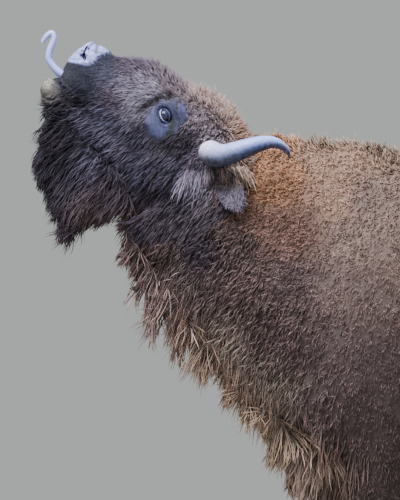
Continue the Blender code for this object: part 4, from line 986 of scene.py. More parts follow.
def tufts(
    place, normal, lie, length, width, stand, curl, tint, rings, rng,
    clump, tousle, flat=0.4, droop=0.0, ends=None,
):
    """Locks of hair as closed, tapered, three-sided blades.

    Each runs from its root along the lie of the coat, rises by how far it stands and settles
    again, waves by its curl, sinks by its droop, and leans towards the middle of its clump.
    Clump is the size of a clump, tousle how far the locks stray from the lie, flat how thick a
    blade is for its width, and ends the tint at the tips.
    """
    count = len(place)
    pull, shade, reach = clump_pull(place, clump, rng)
    pull = pull * np.minimum(1, 0.5 * length / np.maximum(np.linalg.norm(pull, axis=1), 1e-6))[:, None]
    ahead = lie - (lie * normal).sum(1)[:, None] * normal
    ahead = unit(unit(ahead) + rng.normal(0, 1, (count, 3)) * np.reshape(tousle, (-1, 1)))
    side = unit(np.cross(normal, ahead))
    length = length * rng.uniform(0.70, 1.20, count) * (1 + 0.20 * reach)
    stand = np.clip(stand, 0.05, 0.97)
    t = np.linspace(0, 1, rings + 1)[None, :, None]
    rise = (stand * length)[:, None, None] * (t * (1.35 - 0.35 * t))
    run = (np.sqrt(1 - stand**2) * length)[:, None, None] * t
    swing = (curl * length * 0.20)[:, None, None]
    phase = rng.uniform(0, 2 * math.pi, (count, 1, 1))
    turns = rng.uniform(0.5, 1.1, (count, 1, 1)) * 2 * math.pi
    path = (
        place[:, None]
        - 0.0015 * normal[:, None]
        + ahead[:, None] * run
        + normal[:, None] * (rise + 0.4 * swing * t * np.cos(turns * t + phase))
        + side[:, None] * (swing * t * np.sin(turns * t + phase))
        + pull[:, None] * (0.8 * t**1.5)
        + np.array((0, 0, -1.0)) * (droop * length[:, None, None] * t**2)
    )
    body = np.interp(np.linspace(0, 1, rings + 1)[:-1], (0, 0.35, 0.75, 1), (0.75, 1.0, 0.62, 0.1))
    thick = (width * rng.uniform(0.75, 1.25, count))[:, None] * body[None]
    tangent = unit(np.gradient(path, axis=1))[:, :-1]
    across = unit(np.cross(normal[:, None], tangent))
    out = unit(np.cross(tangent, across))
    angle = np.array((math.pi / 2, math.pi / 2 + 2.2, math.pi / 2 - 2.2))
    ring = (
        path[:, :-1, None]
        + across[:, :, None] * (thick[..., None] * 0.5 * np.cos(angle))[..., None]
        + out[:, :, None] * (thick[..., None] * 0.5 * flat * np.sin(angle))[..., None]
    )
    points = np.concatenate([ring.reshape(count, -1, 3), path[:, -1:]], 1)
    per = rings * 3 + 1
    last = (rings - 1) * 3
    fans = [(last + k, last + (k + 1) % 3, per - 1) for k in range(3)]
    one = np.vstack([as_triangles(grid_faces(rings, 3)[:, [0, 3, 2, 1]]), fans, [(0, 2, 1)]])
    one = faced_outwards(points[0], one)
    faces = (one[None] + (np.arange(count) * per)[:, None, None]).reshape(-1, 3)
    along = np.r_[np.repeat(np.linspace(0, 1, rings + 1)[:-1], 3), 1.0]
    # Painted shade and light: each lock darkens towards its root and brightens towards its tip, with a random
    # tone for each clump and lock.
    light = (1 + 0.24 * shade + rng.normal(0, 0.14, count))[:, None] * (0.48 + 0.70 * along[None])
    warm = 1 + rng.normal(0, 0.04, (count, 1, 3))
    ends = tint if ends is None else ends
    base = tint[:, None] + (ends - tint)[:, None] * along[None, :, None] ** 2
    colours = np.clip(base * light[..., None] * warm, 0.001, 0.9)
    turn = np.r_[np.tile((0.0, 1.0, -1.0), rings), 0.0]
    patch = 0.0015 * np.stack([turn, 2 * along - 1], 1)
    return points.reshape(-1, 3), faces, colours.reshape(-1, 3), patch[one].reshape(-1, 2), len(one)


def finished_coat(name, made, place, head, core=None, replaced=()):
    """One piece of coat from its tufts, and the body they lie on where they have their own."""
    points, faces, colours, patch, per = made
    root = bake_uv(place, region_of(place, head))
    uv = np.repeat(root, per * 3, axis=0) + np.tile(patch, (len(place), 1))
    if core:
        core_points, core_faces, core_colours, core_uv = core
        faces = np.vstack([core_faces, faces + len(core_points)])
        points = np.vstack([core_points, points])
        colours = np.vstack([core_colours, colours])
        uv = np.vstack([core_uv, uv])
    coat = add_piece(name, points, faces, [coat_material()], uv, colours)
    if replaced:
        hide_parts(*replaced)


PARTING = math.radians(35)  # how steeply the painted shade in the gaps of the wool slants


def dappled(place, tint, gaps=0.0):
    """The tint with broad and fine mottling, and painted shade in gaps that slant as the wool parts."""
    mottled = 1 + 0.12 * ripple(place, 0.05, 5) + 0.09 * ripple(place, 0.018, 6)
    way = np.array((math.cos(PARTING), 0.0, math.sin(PARTING)))
    slanted = place - np.outer(place @ way, way) * 0.72
    parting_shade = smooth_step(ripple(slanted, 0.016, 7), 0.30, 0.75) * gaps
    return tint * (mottled * (1 - parting_shade))[:, None]


def zone_roots(zone, count, rng):
    """Roots for one zone of the coat, evenly over it and denser where the hair is short."""
    points, faces, normals, kind, bare = hide_surface()
    centre = points[faces].mean(1)
    p = centre - SHIFT
    along, up, _ = head_axes(centre)
    head, body = kind[faces[:, 0]] == 0, kind[faces[:, 0]] == 1
    seam, nape = ahead_of_seam(centre), ahead_of_nape(centre)
    haired = 1 - np.clip(bare[faces].mean(1) * 1.4 - 0.1, 0, 1)
    _, numbers, _ = growth_at(centre)
    dense = (20 / np.clip(numbers[:, 0], 6, 60)) ** 0.8
    leg = (p[:, 2] < np.where(p[:, 0] < 0.3, 0.58, 0.74)) & (np.abs(p[:, 1]) > 0.03)
    tail = p[:, 0] > 1.235
    front = p[:, 0] < 0.14
    left = p[:, 1] < 0
    low = up < -0.125
    ahead = p[:, 0] < -0.27
    in_face = head & (nape > -0.006)
    neck = np.where(head, (seam > 0.015) & ~in_face, body & (seam < 0.03) & ahead) & ~leg
    shoulder = body & front & ~ahead & ~leg
    weight = {
        "face": in_face & (along > 0.17) & ~low,
        "cheek": in_face & low,
        "crown": in_face & (along <= 0.17) & ~low,
        "neck_left": neck & left,
        "neck_right": neck & ~left,
        "shoulder_left": shoulder & left,
        "shoulder_right": shoulder & ~left,
        "trunk": body & ~front & ~leg & ~tail,
        "legs": body & (leg | tail),
    }[zone] * dense * haired
    place, normal = scattered(points, faces, normals, weight, count, rng)
    if zone.startswith("neck"):
        on_head = ahead_of_seam(place) > 0.015
    else:
        on_head = zone in ("face", "crown", "cheek")
    return place, normal, on_head


def cell_numbers(places, size):
    """One number for the cell of a grid in which each place lies, in two or three dimensions."""
    return np.floor(places / size).astype(np.int64) @ 100000 ** np.arange(places.shape[-1])


def core_surface(node, shrink):
    """The body of some long hair: its solid faired and drawn in, but let into the skin it hangs from."""
    points, faces = voxelled(merged_copy(node), CORE_VOXEL)
    points = relaxed(points, faces, 5)
    normals = normals_of(points, faces)
    skin = points_of(bpy.data.objects["hide"].data)
    near = np.isin(cell_numbers(points, SKIN_CELL), cell_numbers(skin, SKIN_CELL))
    depth = np.where(near, -0.004, shrink)[:, None] * np.ones((1, 3))
    points = points - relaxed(depth, faces, 6)[:, :1] * normals
    return points, as_triangles(faces), normals


def with_dock(points, faces):
    """The brush's core joined to the tail by a tube from 45 mm up the tail to 30 mm down the core."""
    tail = points_of(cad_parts["tail"].data)
    low = tail[tail[:, 2] < tail[:, 2].min() + 0.03]
    top = points[points[:, 2] > points[:, 2].max() - 0.03].mean(0)
    path = np.linspace(low.mean(0) + (0, 0, 0.045), top - (0, 0, 0.030), 10)
    radius = np.full(len(path), 0.38 * np.ptp(low[:, 1]))
    dock, dock_faces = closed_tube(tube_grid(path, radius, radius, 12))
    return np.vstack([points, dock]), np.vstack([faces, dock_faces + len(points)])


def side_outline(*nodes):
    """The cells of a grid that some solids cover when seen from the side."""
    rng = np.random.default_rng(1)
    found = []
    for node in nodes:
        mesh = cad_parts[node].data
        points = points_of(mesh)
        mesh.calc_loop_triangles()
        faces = np.empty(len(mesh.loop_triangles) * 3, np.int32)
        mesh.loop_triangles.foreach_get("vertices", faces)
        faces = faces.reshape(-1, 3)
        place, _ = scattered(points, faces, np.ones_like(points), np.ones(len(faces)), 60000, rng)
        found.append(cell_numbers(place[:, (0, 2)], SIDE_CELL))
    return np.unique(np.concatenate(found))


def kept_inside(place, lie, length, outline, spare):
    """Lengths cut so that a lock ends at the outline of the solids, give or take the spare."""
    reach = np.zeros(len(place))
    inside = np.ones(len(place), bool)
    way = unit(lie)
    for step in np.linspace(0.05, 1.0, 20):
        there = place + way * (length * step)[:, None]
        inside &= np.isin(cell_numbers(there[:, (0, 2)], SIDE_CELL), outline)
        reach = np.where(inside, length * step, reach)
    return np.minimum(length, reach + spare)


# The points of the lobes of beard and mane: x and z
BEARD_TIPS = [
    (-1.008, 1.600), (-1.022, 1.545), (-1.026, 1.490), (-0.982, 1.394), (-0.950, 1.313), (-0.928, 1.308),
]
MANE_TIPS = [
    (-0.778, 1.120), (-0.700, 1.042), (-0.624, 0.972), (-0.554, 0.930), (-0.490, 0.862), (-0.414, 0.784),
    (-0.364, 0.694), (-0.280, 0.608),
]
BRUSH_TIP = [(1.290, 0.640)]
# Where the throat mane leaves the neck, from the jaw down: x and z
MANE_EDGE = [
    (-0.720, 1.330), (-0.680, 1.235), (-0.557, 1.016), (-0.412, 0.876), (-0.252, 0.753), (-0.160, 0.660),
]


def trimmed(made, place, outline, drawn):
    """The tufts without those whose end or middle would show outside the outline from the side."""
    points, faces, colours, patch, per = made
    each = points.reshape(len(place), -1, 3)
    size = each.shape[1]
    keep = np.ones(len(place), bool)
    for at, spared in ((-1, drawn), (size * 2 // 3, False), (size // 3, False)):
        found = False
        for step in ((0, 0), (1, 0), (-1, 0), (0, 1), (0, -1)):
            spot = each[:, at, [0, 2]] + np.array(step) * SIDE_CELL
            found = found | np.isin(cell_numbers(spot, SIDE_CELL), outline)
        keep &= spared | found
    faces = faces[:per][None] + (np.arange(keep.sum()) * size)[:, None, None]
    points, colours = (part.reshape(each.shape)[keep].reshape(-1, 3) for part in (points, colours))
    return (points, faces.reshape(-1, 3), colours, patch, per), place[keep]


def drawn_to_tips(place, lie, length, tips, reach):
    """Locks near the pointed end of a lobe turned towards it, and long enough to end there."""
    off = SHIFT[[0, 2]] + np.array(tips) - place[:, None, (0, 2)]
    gap = np.linalg.norm(off, axis=2)
    which = np.arange(len(gap)), gap.argmin(1)
    nearest = gap[which]
    aim = off[which] / nearest[:, None]
    ahead = (aim * unit(lie[:, (0, 2)])).sum(1)
    share = fade(nearest, 0.45 * reach, reach) * smooth_step(ahead, 0.66, 0.92)
    if len(tips) > 1:
        aim[:, 0] = np.minimum(aim[:, 0], 0.0)
    turned = unit(lie)
    for axis, k in ((0, 0), (2, 1)):
        turned[:, axis] += share * 1.25 * (aim[:, k] - turned[:, axis])
    drawn = share > 0.25
    return turned, np.where(drawn, nearest, length), drawn


def hanging_locks(
    place, normal, outline, tips, reach, rng,
    width, longer, spread, spare, clump, tousle, bright, stand=None, tint=None,
):
    """Long locks that end at the outline of the solids, or in the point of a lobe that is near.

    The spread is the range of their lengths as shares of the grown one, and the spare is how far
    they may pass the outline. The tousle is first that of locks drawn to a point, then of the rest.
    """
    count = len(place)
    lie, numbers, grown = growth_at(place, True)
    length = numbers[:, 0] / 1000 * longer * settings().coat_length * rng.uniform(*spread, count)
    lie, pointed, drawn = drawn_to_tips(place, lie, length, tips, reach)
    inside = kept_inside(place, lie, length, outline, spare * rng.uniform(0, 1, count) ** 2)
    length = np.where(drawn, np.minimum(pointed, 1.5 * length), inside)
    made = tufts(
        place, normal, lie, np.maximum(length, 0.018), width, numbers[:, 1] if stand is None else stand,
        numbers[:, 2], dappled(place, grown if tint is None else tint), 4, rng, droop=0.10, clump=clump,
        flat=0.45, tousle=np.where(drawn, *tousle)[:, None], ends=grown * np.array(bright),
    )
    return made, drawn


def long_coat(name, node, around, tips, reach, count, seed, shrink, width, longer, spare, bright):
    """Beard, mane or brush: a core, darkened as painted shade, inside long, thin locks that end at its hem.
    """
    rng = np.random.default_rng(seed)
    points, faces, normals = core_surface(node, shrink)
    brush, beard = node == "tail_brush", node == "beard"
    if brush:
        points, faces = with_dock(points, faces)
        normals = normals_of(points, faces)
    place, normal = scattered(points, faces, normals, np.ones(len(faces)), count, rng)
    outline = side_outline(node, *around)
    made, drawn = hanging_locks(
        place, normal, outline, tips, reach, rng, width, longer, (0.6, 1.15), spare, 0.032, (0.06, 0.14),
        bright,
    )
    if not brush:
        made, place = trimmed(made, place, outline, drawn)
    core_uv = bake_uv(points, region_of(points, beard))[faces].reshape(-1, 2)
    _, _, core_tint = growth_at(points, True)
    # Painted shade: the core is the hair's tint darkened, as the shade deep inside the hair.
    core = points, faces, core_tint * 0.40, core_uv
    finished_coat(name, made, place, beard, core, (node,))


# ---------------------------------------------------------------- materials
def started_material(name):
    """A material with an empty tree but for its output and a principled shader."""
    made = bpy.data.materials.new(name)
    made.use_nodes = True
    tree = made.node_tree
    tree.nodes.clear()
    shader = tree.nodes.new("ShaderNodeBsdfPrincipled")
    output = tree.nodes.new("ShaderNodeOutputMaterial")
    tree.links.new(shader.outputs["BSDF"], output.inputs["Surface"])
    return made, tree, shader


def fill_socket(tree, socket, value):
    """A constant set, or a link made, on one input."""
    if isinstance(value, bpy.types.NodeSocket):
        tree.links.new(value, socket)
    else:
        socket.default_value = value


def add_node(tree, kind, feeds=None, **values):
    """A node with its settings made and its inputs set or linked."""
    node = tree.nodes.new(kind)
    for key, value in values.items():
        setattr(node, key, value)
    for key, value in (feeds or {}).items():
        fill_socket(tree, node.inputs[key], value)
    return node


def dress(tree, shader, **feeds):
    """Constants and links onto the shader's own sockets, named with underscores for spaces."""
    for key, value in feeds.items():
        fill_socket(tree, shader.inputs[key.replace("_", " ")], value)


def noise(tree, place, size, detail, roughness=0.5):
    """Fine noise of the given size in metres."""
    feeds = {"Vector": place, "Scale": 1 / size, "Detail": detail, "Roughness": roughness}
    return add_node(tree, "ShaderNodeTexNoise", feeds).outputs["Fac"]


def cracks(tree, place, size, **values):
    """How far each place is from the middle, or by the feature the edge, of its cell in a pattern.

    The cells have the given size in metres.
    """
    feeds = {"Vector": place, "Scale": 1 / size}
    return add_node(tree, "ShaderNodeTexVoronoi", feeds, **values).outputs["Distance"]


def bumped(tree, height, strength, depth):
    """The relief of a height, as deep as the depth in metres."""
    feeds = {"Height": height, "Strength": strength, "Distance": depth}
    return add_node(tree, "ShaderNodeBump", feeds).outputs[0]


def ranged(tree, value, **limits):
    """A value carried from one range to another."""
    feeds = {"Value": value, **{key.replace("_", " "): limit for key, limit in limits.items()}}
    return add_node(tree, "ShaderNodeMapRange", feeds).outputs[0]


def tinted(tree, size, share, place):
    """The tint attribute lightened and darkened by fine noise of the given size in metres."""
    tint = add_node(tree, "ShaderNodeVertexColor", layer_name="tint").outputs["Color"]
    grain = noise(tree, place, size, 4.0, 0.6)
    level = ranged(tree, grain, From_Min=0.3, From_Max=0.7, To_Min=1 - share, To_Max=1 + share)
    grey = add_node(tree, "ShaderNodeCombineColor", {"Red": level, "Green": level, "Blue": level})
    mixed = add_node(tree, "ShaderNodeMix", data_type="RGBA", blend_type="MULTIPLY")
    for socket, value in (("Factor", 1.0), (6, tint), (7, grey.outputs["Color"])):
        fill_socket(tree, mixed.inputs[socket], value)
    return mixed.outputs[2]


def object_place(tree):
    """The place of the shaded point on the object itself."""
    return add_node(tree, "ShaderNodeTexCoord").outputs["Object"]


def hide_material():
    """Skin under short fur: woolly grain in the fur, fine cracked leather where it is bare."""
    made, tree, shader = started_material("Wisent skin and underwool")
    place = object_place(tree)
    colour = tinted(tree, 0.006, 0.35, place)
    edge = cracks(tree, place, 0.0028, feature="DISTANCE_TO_EDGE")
    leather = ranged(tree, edge, From_Min=0.0, From_Max=0.18)
    bare = add_node(tree, "ShaderNodeAttribute", attribute_name="bare").outputs["Fac"]
    wool = noise(tree, place, 0.0035, 5.0, 0.7)
    height = add_node(tree, "ShaderNodeMix", {"Factor": bare, 2: wool, 3: leather}).outputs[0]
    relief = bumped(tree, height, 0.55, 0.0016)
    rough = ranged(tree, bare, To_Min=0.85, To_Max=0.50)
    dress(tree, shader, Base_Color=colour, Roughness=rough, Normal=relief, Specular_IOR_Level=0.35)
    return made


def coat_material():
    """Hair: matt wool, made once and shared by every piece of the coat."""
    ready = bpy.data.materials.get("Wisent wool")
    if ready:
        return ready
    made, tree, shader = started_material("Wisent wool")
    colour = tinted(tree, 0.0022, 0.18, object_place(tree))
    dress(tree, shader, Base_Color=colour, Roughness=0.70, Specular_IOR_Level=0.18)
    return made


def horn_material():
    """Horn: smooth and finely grained, with a dull gloss."""
    made, tree, shader = started_material("Horn keratin")
    place = object_place(tree)
    colour = tinted(tree, 0.005, 0.30, place)
    relief = bumped(tree, noise(tree, place, 0.003, 3.0), 0.35, 0.0008)
    dress(tree, shader, Base_Color=colour, Roughness=0.38, Normal=relief, Specular_IOR_Level=0.4)
    return made


def hoof_material():
    """Hoof wall: black-brown horn with growth rings across it."""
    made, tree, shader = started_material("Hoof keratin")
    rings = add_node(
        tree, "ShaderNodeTexWave",
        {"Vector": object_place(tree), "Scale": 1 / 0.030, "Distortion": 3.0, "Detail": 2.0},
        wave_type="BANDS", bands_direction="Z",
    ).outputs["Fac"]
    ramp = add_node(tree, "ShaderNodeValToRGB", {"Fac": rings})
    for stop, code in zip(ramp.color_ramp.elements, ("#1d1a1b", "#35302f")):
        stop.color = (*linear(code), 1)
    relief = bumped(tree, rings, 0.35, 0.001)
    dress(tree, shader, Base_Color=ramp.outputs["Color"], Roughness=0.48, Normal=relief)
    return made


def eye_material():
    """A dark wet eye under a clear film."""
    made, tree, shader = started_material("Wet eye")
    tint = add_node(tree, "ShaderNodeVertexColor", layer_name="tint").outputs["Color"]
    dress(tree, shader, Base_Color=tint, Roughness=0.07, Specular_IOR_Level=0.30)
    dress(tree, shader, Coat_Weight=0.15, Coat_Roughness=0.03)
    return made


def tongue_material():
    """Wet tongue: grey-violet flesh with fine papillae."""
    made, tree, shader = started_material("Tongue flesh")
    place = object_place(tree)
    colour = tinted(tree, 0.006, 0.12, place)
    relief = bumped(tree, cracks(tree, place, 0.0016), 0.4, 0.0005)
    dress(tree, shader, Base_Color=colour, Roughness=0.30, Normal=relief, Subsurface_Weight=0.08)
    return made


# ---------------------------------------------------------------- eyes, horns, hooves, tongue
# The bright blue stops towards the tip are partly a painted highlight, the sky's light on that end.
HORN_COLOURS = ("#a8a0b2", "#a8a2bc", "#8488ae", "#6c79ba", "#909cda", "#a8b2e6", "#3a3a48")
TONGUE_COLOURS = ("#6d6da4", "#919bdc", "#9aa4de", "#929cd2")
# The left horn from base to tip: x, out, z and radius
HORN = [
    (-0.534, 0.080, 1.572, 0.0345),
    (-0.532, 0.120, 1.571, 0.0350),
    (-0.520, 0.160, 1.565, 0.0335),
    (-0.494, 0.194, 1.562, 0.0310),
    (-0.452, 0.216, 1.574, 0.0278),
    (-0.408, 0.222, 1.589, 0.0237),
    (-0.368, 0.213, 1.597, 0.0176),
    (-0.339, 0.196, 1.590, 0.0128),
    (-0.319, 0.175, 1.573, 0.0080),
    (-0.311, 0.158, 1.554, 0.0016),
]
# The tongue from root to tip: x, out, z, half its thickness and half its width
TONGUE = [
    (-0.880, 0.000, 1.750, 0.0120, 0.0250),
    (-0.915, 0.000, 1.774, 0.0124, 0.0250),
    (-0.944, 0.003, 1.791, 0.0120, 0.0235),
    (-0.967, 0.007, 1.811, 0.0106, 0.0210),
    (-0.982, 0.011, 1.834, 0.0092, 0.0175),
    (-0.981, 0.015, 1.856, 0.0086, 0.0152),
    (-0.973, 0.018, 1.878, 0.0080, 0.0140),
    (-0.968, 0.020, 1.896, 0.0074, 0.0130),
    (-0.975, 0.021, 1.908, 0.0070, 0.0120),
    (-0.989, 0.020, 1.899, 0.0064, 0.0110),
    (-1.001, 0.018, 1.882, 0.0046, 0.0075),
]


def shades(share, stops, codes):
    """Colours along a horn or a tongue, between the given codes at the given stops."""
    levels = np.array([linear(code) for code in codes]).T
    return np.stack([np.interp(share, stops, level) for level in levels], 1)


def make_eyes():
    """Two balls, each a turned half circle about its gaze, with a low dome for the cornea."""
    parts = []
    for side in (1, -1):
        gaze = unit(np.array((0.30, 0.05, side * 1.0)))
        gaze = gaze[0] * FORE + gaze[1] * DORSAL + gaze[2] * LEFT
        wide = unit(EYE_LONG[0] * FORE + EYE_LONG[1] * DORSAL)
        high = np.cross(gaze, wide)
        wide = np.cross(high, gaze)
        fall = np.linspace(0.02, math.pi - 0.02, 60)[:, None]
        turn = full_turn(72)
        radius = EYE_RADIUS - 0.0002 + 0.0006 * np.exp(-((fall / 0.50) ** 4))
        a = radius * np.sin(fall) * np.cos(turn)
        b = radius * np.sin(fall) * np.sin(turn)
        depth = np.repeat(radius * np.cos(fall), len(turn), 1)
        centre = head_point(EYE[0], EYE[1], side * EYE[2])
        rings = centre + a[..., None] * wide + b[..., None] * high + depth[..., None] * gaze
        points, faces = closed_tube(rings)
        off_pupil = smooth_step(np.hypot(a / 0.0068, b / 0.0038), 0.9, 1.1)[..., None]
        off_iris = smooth_step(np.hypot(a, b), 0.0120, 0.0134)[..., None] * (depth > 0)[..., None]
        # The iris is painted violet-blue: a painted sky reflection over its own dark colour; the pupil and
        # the ball outside the iris are dark.
        colour = blend(linear("#050507"), linear("#2a2a48"), off_pupil)
        colour = blend(colour, linear("#14141c"), off_iris)
        parts.append((points, faces, np.vstack([colour.reshape(-1, 3), colour[0, :1], colour[-1, :1]])))
    points, faces, tints = joined(parts)
    eyes = add_piece("eyes", points, faces, [eye_material()], tints=tints)
    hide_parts("eye_left", "eye_right")


def make_horns():
    """Two curved cones on the solids' curve, ringed at the base: pale base, blue-grey shaft, dark tip, with
    painted light on top and painted shade underneath.
    """
    parts = []
    rows = curve_through(HORN, 110)
    share = np.linspace(0, 1, len(rows))
    rings = 0.0007 * np.sin(share * 95) * fade(share, 0.25, 0.5) * (share > 0.12)
    radius = np.maximum(rows[:, 3] - 0.0005 + rings, 0.0006)
    shade = shades(share, (0.0, 0.16, 0.30, 0.55, 0.78, 0.95, 1.0), HORN_COLOURS)
    for side in (1, -1):
        path = SHIFT + mirrored(side, *rows[:, :3].T)
        grid = tube_grid(path, radius, radius, 60, across=(0.3, 0.2, 1.0))
        points, faces = closed_tube(grid)
        rise = unit(grid - path[:, None])[..., 2]
        stains = 0.10 * ripple(grid.reshape(-1, 3), 0.012, 21).reshape(rise.shape)
        # Painted light: each ring is lighter on top and darker underneath as the light falls, with random
        # stains over it.
        light_and_stains = 0.16 + 1.22 * smooth_step(rise, -0.62, 0.72) + stains
        colour = (shade[:, None] * light_and_stains[..., None]).reshape(-1, 3)
        parts.append((points, faces, np.vstack([colour, shade[0], shade[-1]])))
    points, faces, tints = joined(parts)
    horns = add_piece("horns", points, faces, [horn_material()], tints=tints)
    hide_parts("horn_left", "horn_right")


HOOF_VOXEL = 0.0026
SOLE = 0.0035  # what lies lower than this on a hoof that stands is its flat sole


def make_hooves():
    """Sixteen claws: each its solid with the corners rounded, the sole kept flat on the floor."""
    names = [
        f"{end}_{side}_{claw}_{place}"
        for end in ("front", "hind")
        for side in ("left", "right")
        for claw in ("hoof", "dewclaw")
        for place in ("outer", "inner")
    ]
    parts = []
    for name in names:
        points, faces = voxelled(merged_copy(name), HOOF_VOXEL)
        points = relaxed(points, faces, 6)
        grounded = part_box(name)[0][2] < 0.001
        if grounded:
            points[:, 2] = np.where(points[:, 2] < SOLE, 0.0, points[:, 2])
        parts.append((points, as_triangles(faces), np.zeros((len(points), 3))))
    points, faces, _ = joined(parts)
    hooves = add_piece("hooves", points, faces, [hoof_material()])
    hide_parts(*names)


def make_tongue():
    """A flat tube curled up past the lip, narrowing to its tip."""
    rows = curve_through(TONGUE, 130)
    share = np.linspace(0, 1, len(rows))
    path = SHIFT + mirrored(1, *rows[:, :3].T)
    thicker = 0.0012 * smooth_step(share, 0.3, 0.5)
    grid = tube_grid(path, rows[:, 3] + thicker, rows[:, 4] + thicker, 56, power=2.3)
    points, faces = closed_tube(grid)
    shade = shades(share, (0, 0.3, 0.7, 1.0), TONGUE_COLOURS)
    colour = np.vstack([np.repeat(shade, 56, 0), shade[0], shade[-1]])
    tongue = add_piece("tongue_flesh", points, faces, [tongue_material()], tints=colour)
    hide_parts("tongue")


# ---------------------------------------------------------------- the coat, piece by piece
SHORT_COAT = {
    # zone: tufts, rings, width in metres, longer, clump in metres, flat, tousle, slot
    "face": (13800, 2, 0.0025, 1.10, 0.009, 0.35, 0.16, "dark_coat"),
    "cheek": (7200, 3, 0.0031, 1.15, 0.015, 0.40, 0.12, "dark_coat"),
    "crown": (7800, 3, 0.0030, 1.10, 0.014, 0.45, 0.30, "dark_coat"),
    "neck_left": (15500, 2, 0.0040, 1.00, 0.013, 0.45, 0.34, "brown_coat"),
    "neck_right": (8200, 2, 0.0050, 1.00, 0.013, 0.45, 0.34, "brown_coat"),
    "shoulder_left": (15500, 2, 0.0040, 1.00, 0.011, 0.45, 0.50, "brown_coat"),
    "shoulder_right": (7500, 2, 0.0052, 1.00, 0.012, 0.45, 0.50, "brown_coat"),
    "trunk": (11000, 2, 0.0063, 1.10, 0.018, 0.40, 0.30, "brown_coat"),
    "legs": (8500, 2, 0.0053, 1.10, 0.014, 0.35, 0.20, "leg_coat"),
}


def make_short_coat():
    """Every zone of the short coat, each from its own seed."""
    for seed, (zone, row) in enumerate(SHORT_COAT.items()):
        count, rings, width, longer, clump, flat, tousle, slot = row
        rng = np.random.default_rng(100 + seed)
        place, normal, on_head = zone_roots(zone, int(count * settings().coat_density), rng)
        lie, numbers, tint = growth_at(place)
        length = numbers[:, 0] / 1000 * longer * settings().coat_length
        wide = width * np.clip(length / 0.018, 0.5, 1.6) ** 0.5
        # creased paints shade along the brow crease; the brown coat gets painted shade in the partings of its
        # wool
        tint = dappled(place, tint * creased(place), 0.34 * (slot == "brown_coat"))
        tufted = tufts(
            place, normal, lie, length, wide, numbers[:, 1], numbers[:, 2], tint,
            rings, rng, clump=clump, flat=flat, tousle=tousle,
        )
        finished_coat("coat_" + zone, tufted, place, on_head)


def ear_hollow(place):
    """How much light reaches the hair: little in the hollow ahead of each ear."""
    p = place - SHIFT
    gap = np.hypot(p[:, 0] + 0.516, p[:, 2] - 1.472)
    return 1 - 0.85 * bell(gap, 0.024)[:, None]


def ear_hair(rng):
    """Hair over both ears, tan above and lighter below: tufts and their roots."""
    points, faces, normals, kind, _ = hide_surface()
    place, normal = scattered(points, faces, normals, (kind[faces[:, 0]] == 2) * 1.0, 2600, rng)
    side = np.where(place[:, 1] < 0, 1.0, -1.0)
    reach = np.clip((1.53 - (place - SHIFT)[:, 2]) / 0.11, 0, 1)
    opening = (normal * mirrored(side, *EAR_OPENS)).sum(1) > 0.2
    tint = blend(linear("lock"), 0.75 * linear("tan"), fade(reach, 0.35, 0.60)[:, None])
    tint = tint * np.where(opening, 0.95, 0.85)[:, None] * ear_hollow(place)
    made = tufts(
        place, normal, mirrored(side, 0.45, 0.5, -0.75), 0.014 + 0.010 * reach, 0.0026, 0.35, 0.4,
        dappled(place, tint), 3, rng, clump=0.008, tousle=0.30,
    )
    return made, place


def ear_locks(rng):
    """The long light locks that fan out below each horn, from before the ear to behind it."""
    count = 1100
    share = np.tile(rng.random(count // 2), 2)
    side = np.repeat((1.0, -1.0), count // 2)
    depth = rng.random(count)
    x = -0.600 + 0.165 * share + rng.normal(0, 0.004, count)
    z = 1.524 - 0.012 * depth + 0.010 * share
    out = 0.118 + 0.012 * share + 0.020 * (share > 0.3) * (1 - depth)
    roots = SHIFT + mirrored(side, x, out, z)
    angle = np.radians(238 + 68 * share + rng.normal(0, 7, count))
    lie = mirrored(side, np.cos(angle), 0.10 + 0.45 * smooth_step(share, 0.2, 0.6), np.sin(angle))
    stops, lengths = (0, 0.25, 0.38, 0.46, 0.58, 0.7, 1.0), (0.078, 0.080, 0.050, 0.030, 0.030, 0.050, 0.055)
    length = np.interp(share, stops, lengths) * rng.uniform(0.5, 1.1, count)
    mix = smooth_step(share + rng.normal(0, 0.15, count), 0.25, 0.8)[:, None]
    lit = (1 - 0.55 * bell(share - 0.52, 0.09)) * (1 + 0.80 * smooth_step(share, 0.70, 0.90))
    tint = blend(linear("lock"), linear("tan"), mix) * rng.uniform(0.45, 1.30, (count, 1)) * lit[:, None]
    made = tufts(
        roots, unit(mirrored(side, -0.2, 1.0, -0.05)), lie, length, 0.0034, 0.18, 0.35, tint, 5, rng,
        droop=0.12, clump=0.014, tousle=0.12,
    )
    return made, roots


def make_ear_coat():
    """The hair of the ears and the locks before them, drawn one after the other."""
    rng = np.random.default_rng(300)
    for name, grown in (("coat_ears", ear_hair), ("coat_ear_locks", ear_locks)):
        made, roots = grown(rng)
        finished_coat(name, made, roots, True)


def mane_cape(around, count, seed):
    """Locks rooted in the neck above the throat mane, falling over its edge."""
    rng = np.random.default_rng(seed)
    outline = side_outline("throat_mane", "beard", *around)
    points, faces, normals, kind, _ = hide_surface()
    p = points[faces].mean(1) - SHIFT
    gap, share = near_line(p[:, 0], p[:, 2], MANE_EDGE)
    band = fade(gap, 0.03, 0.11) * (share > 0.14) * (share < 0.98) * (kind[faces[:, 0]] < 2)
    place, normal = scattered(points, faces, normals, band, count, rng)
    _, _, under = growth_at(place)
    made, drawn = hanging_locks(
        place, normal, outline, MANE_TIPS, 0.160, rng, 0.0048, 1.0, (0.6, 1.2), 0.010, 0.030, (0.10, 0.10),
        (1.25, 1.08, 0.98), stand=0.16, tint=under,
    )
    made, place = trimmed(made, place, outline, drawn)
    finished_coat("mane_cape", made, place, False)


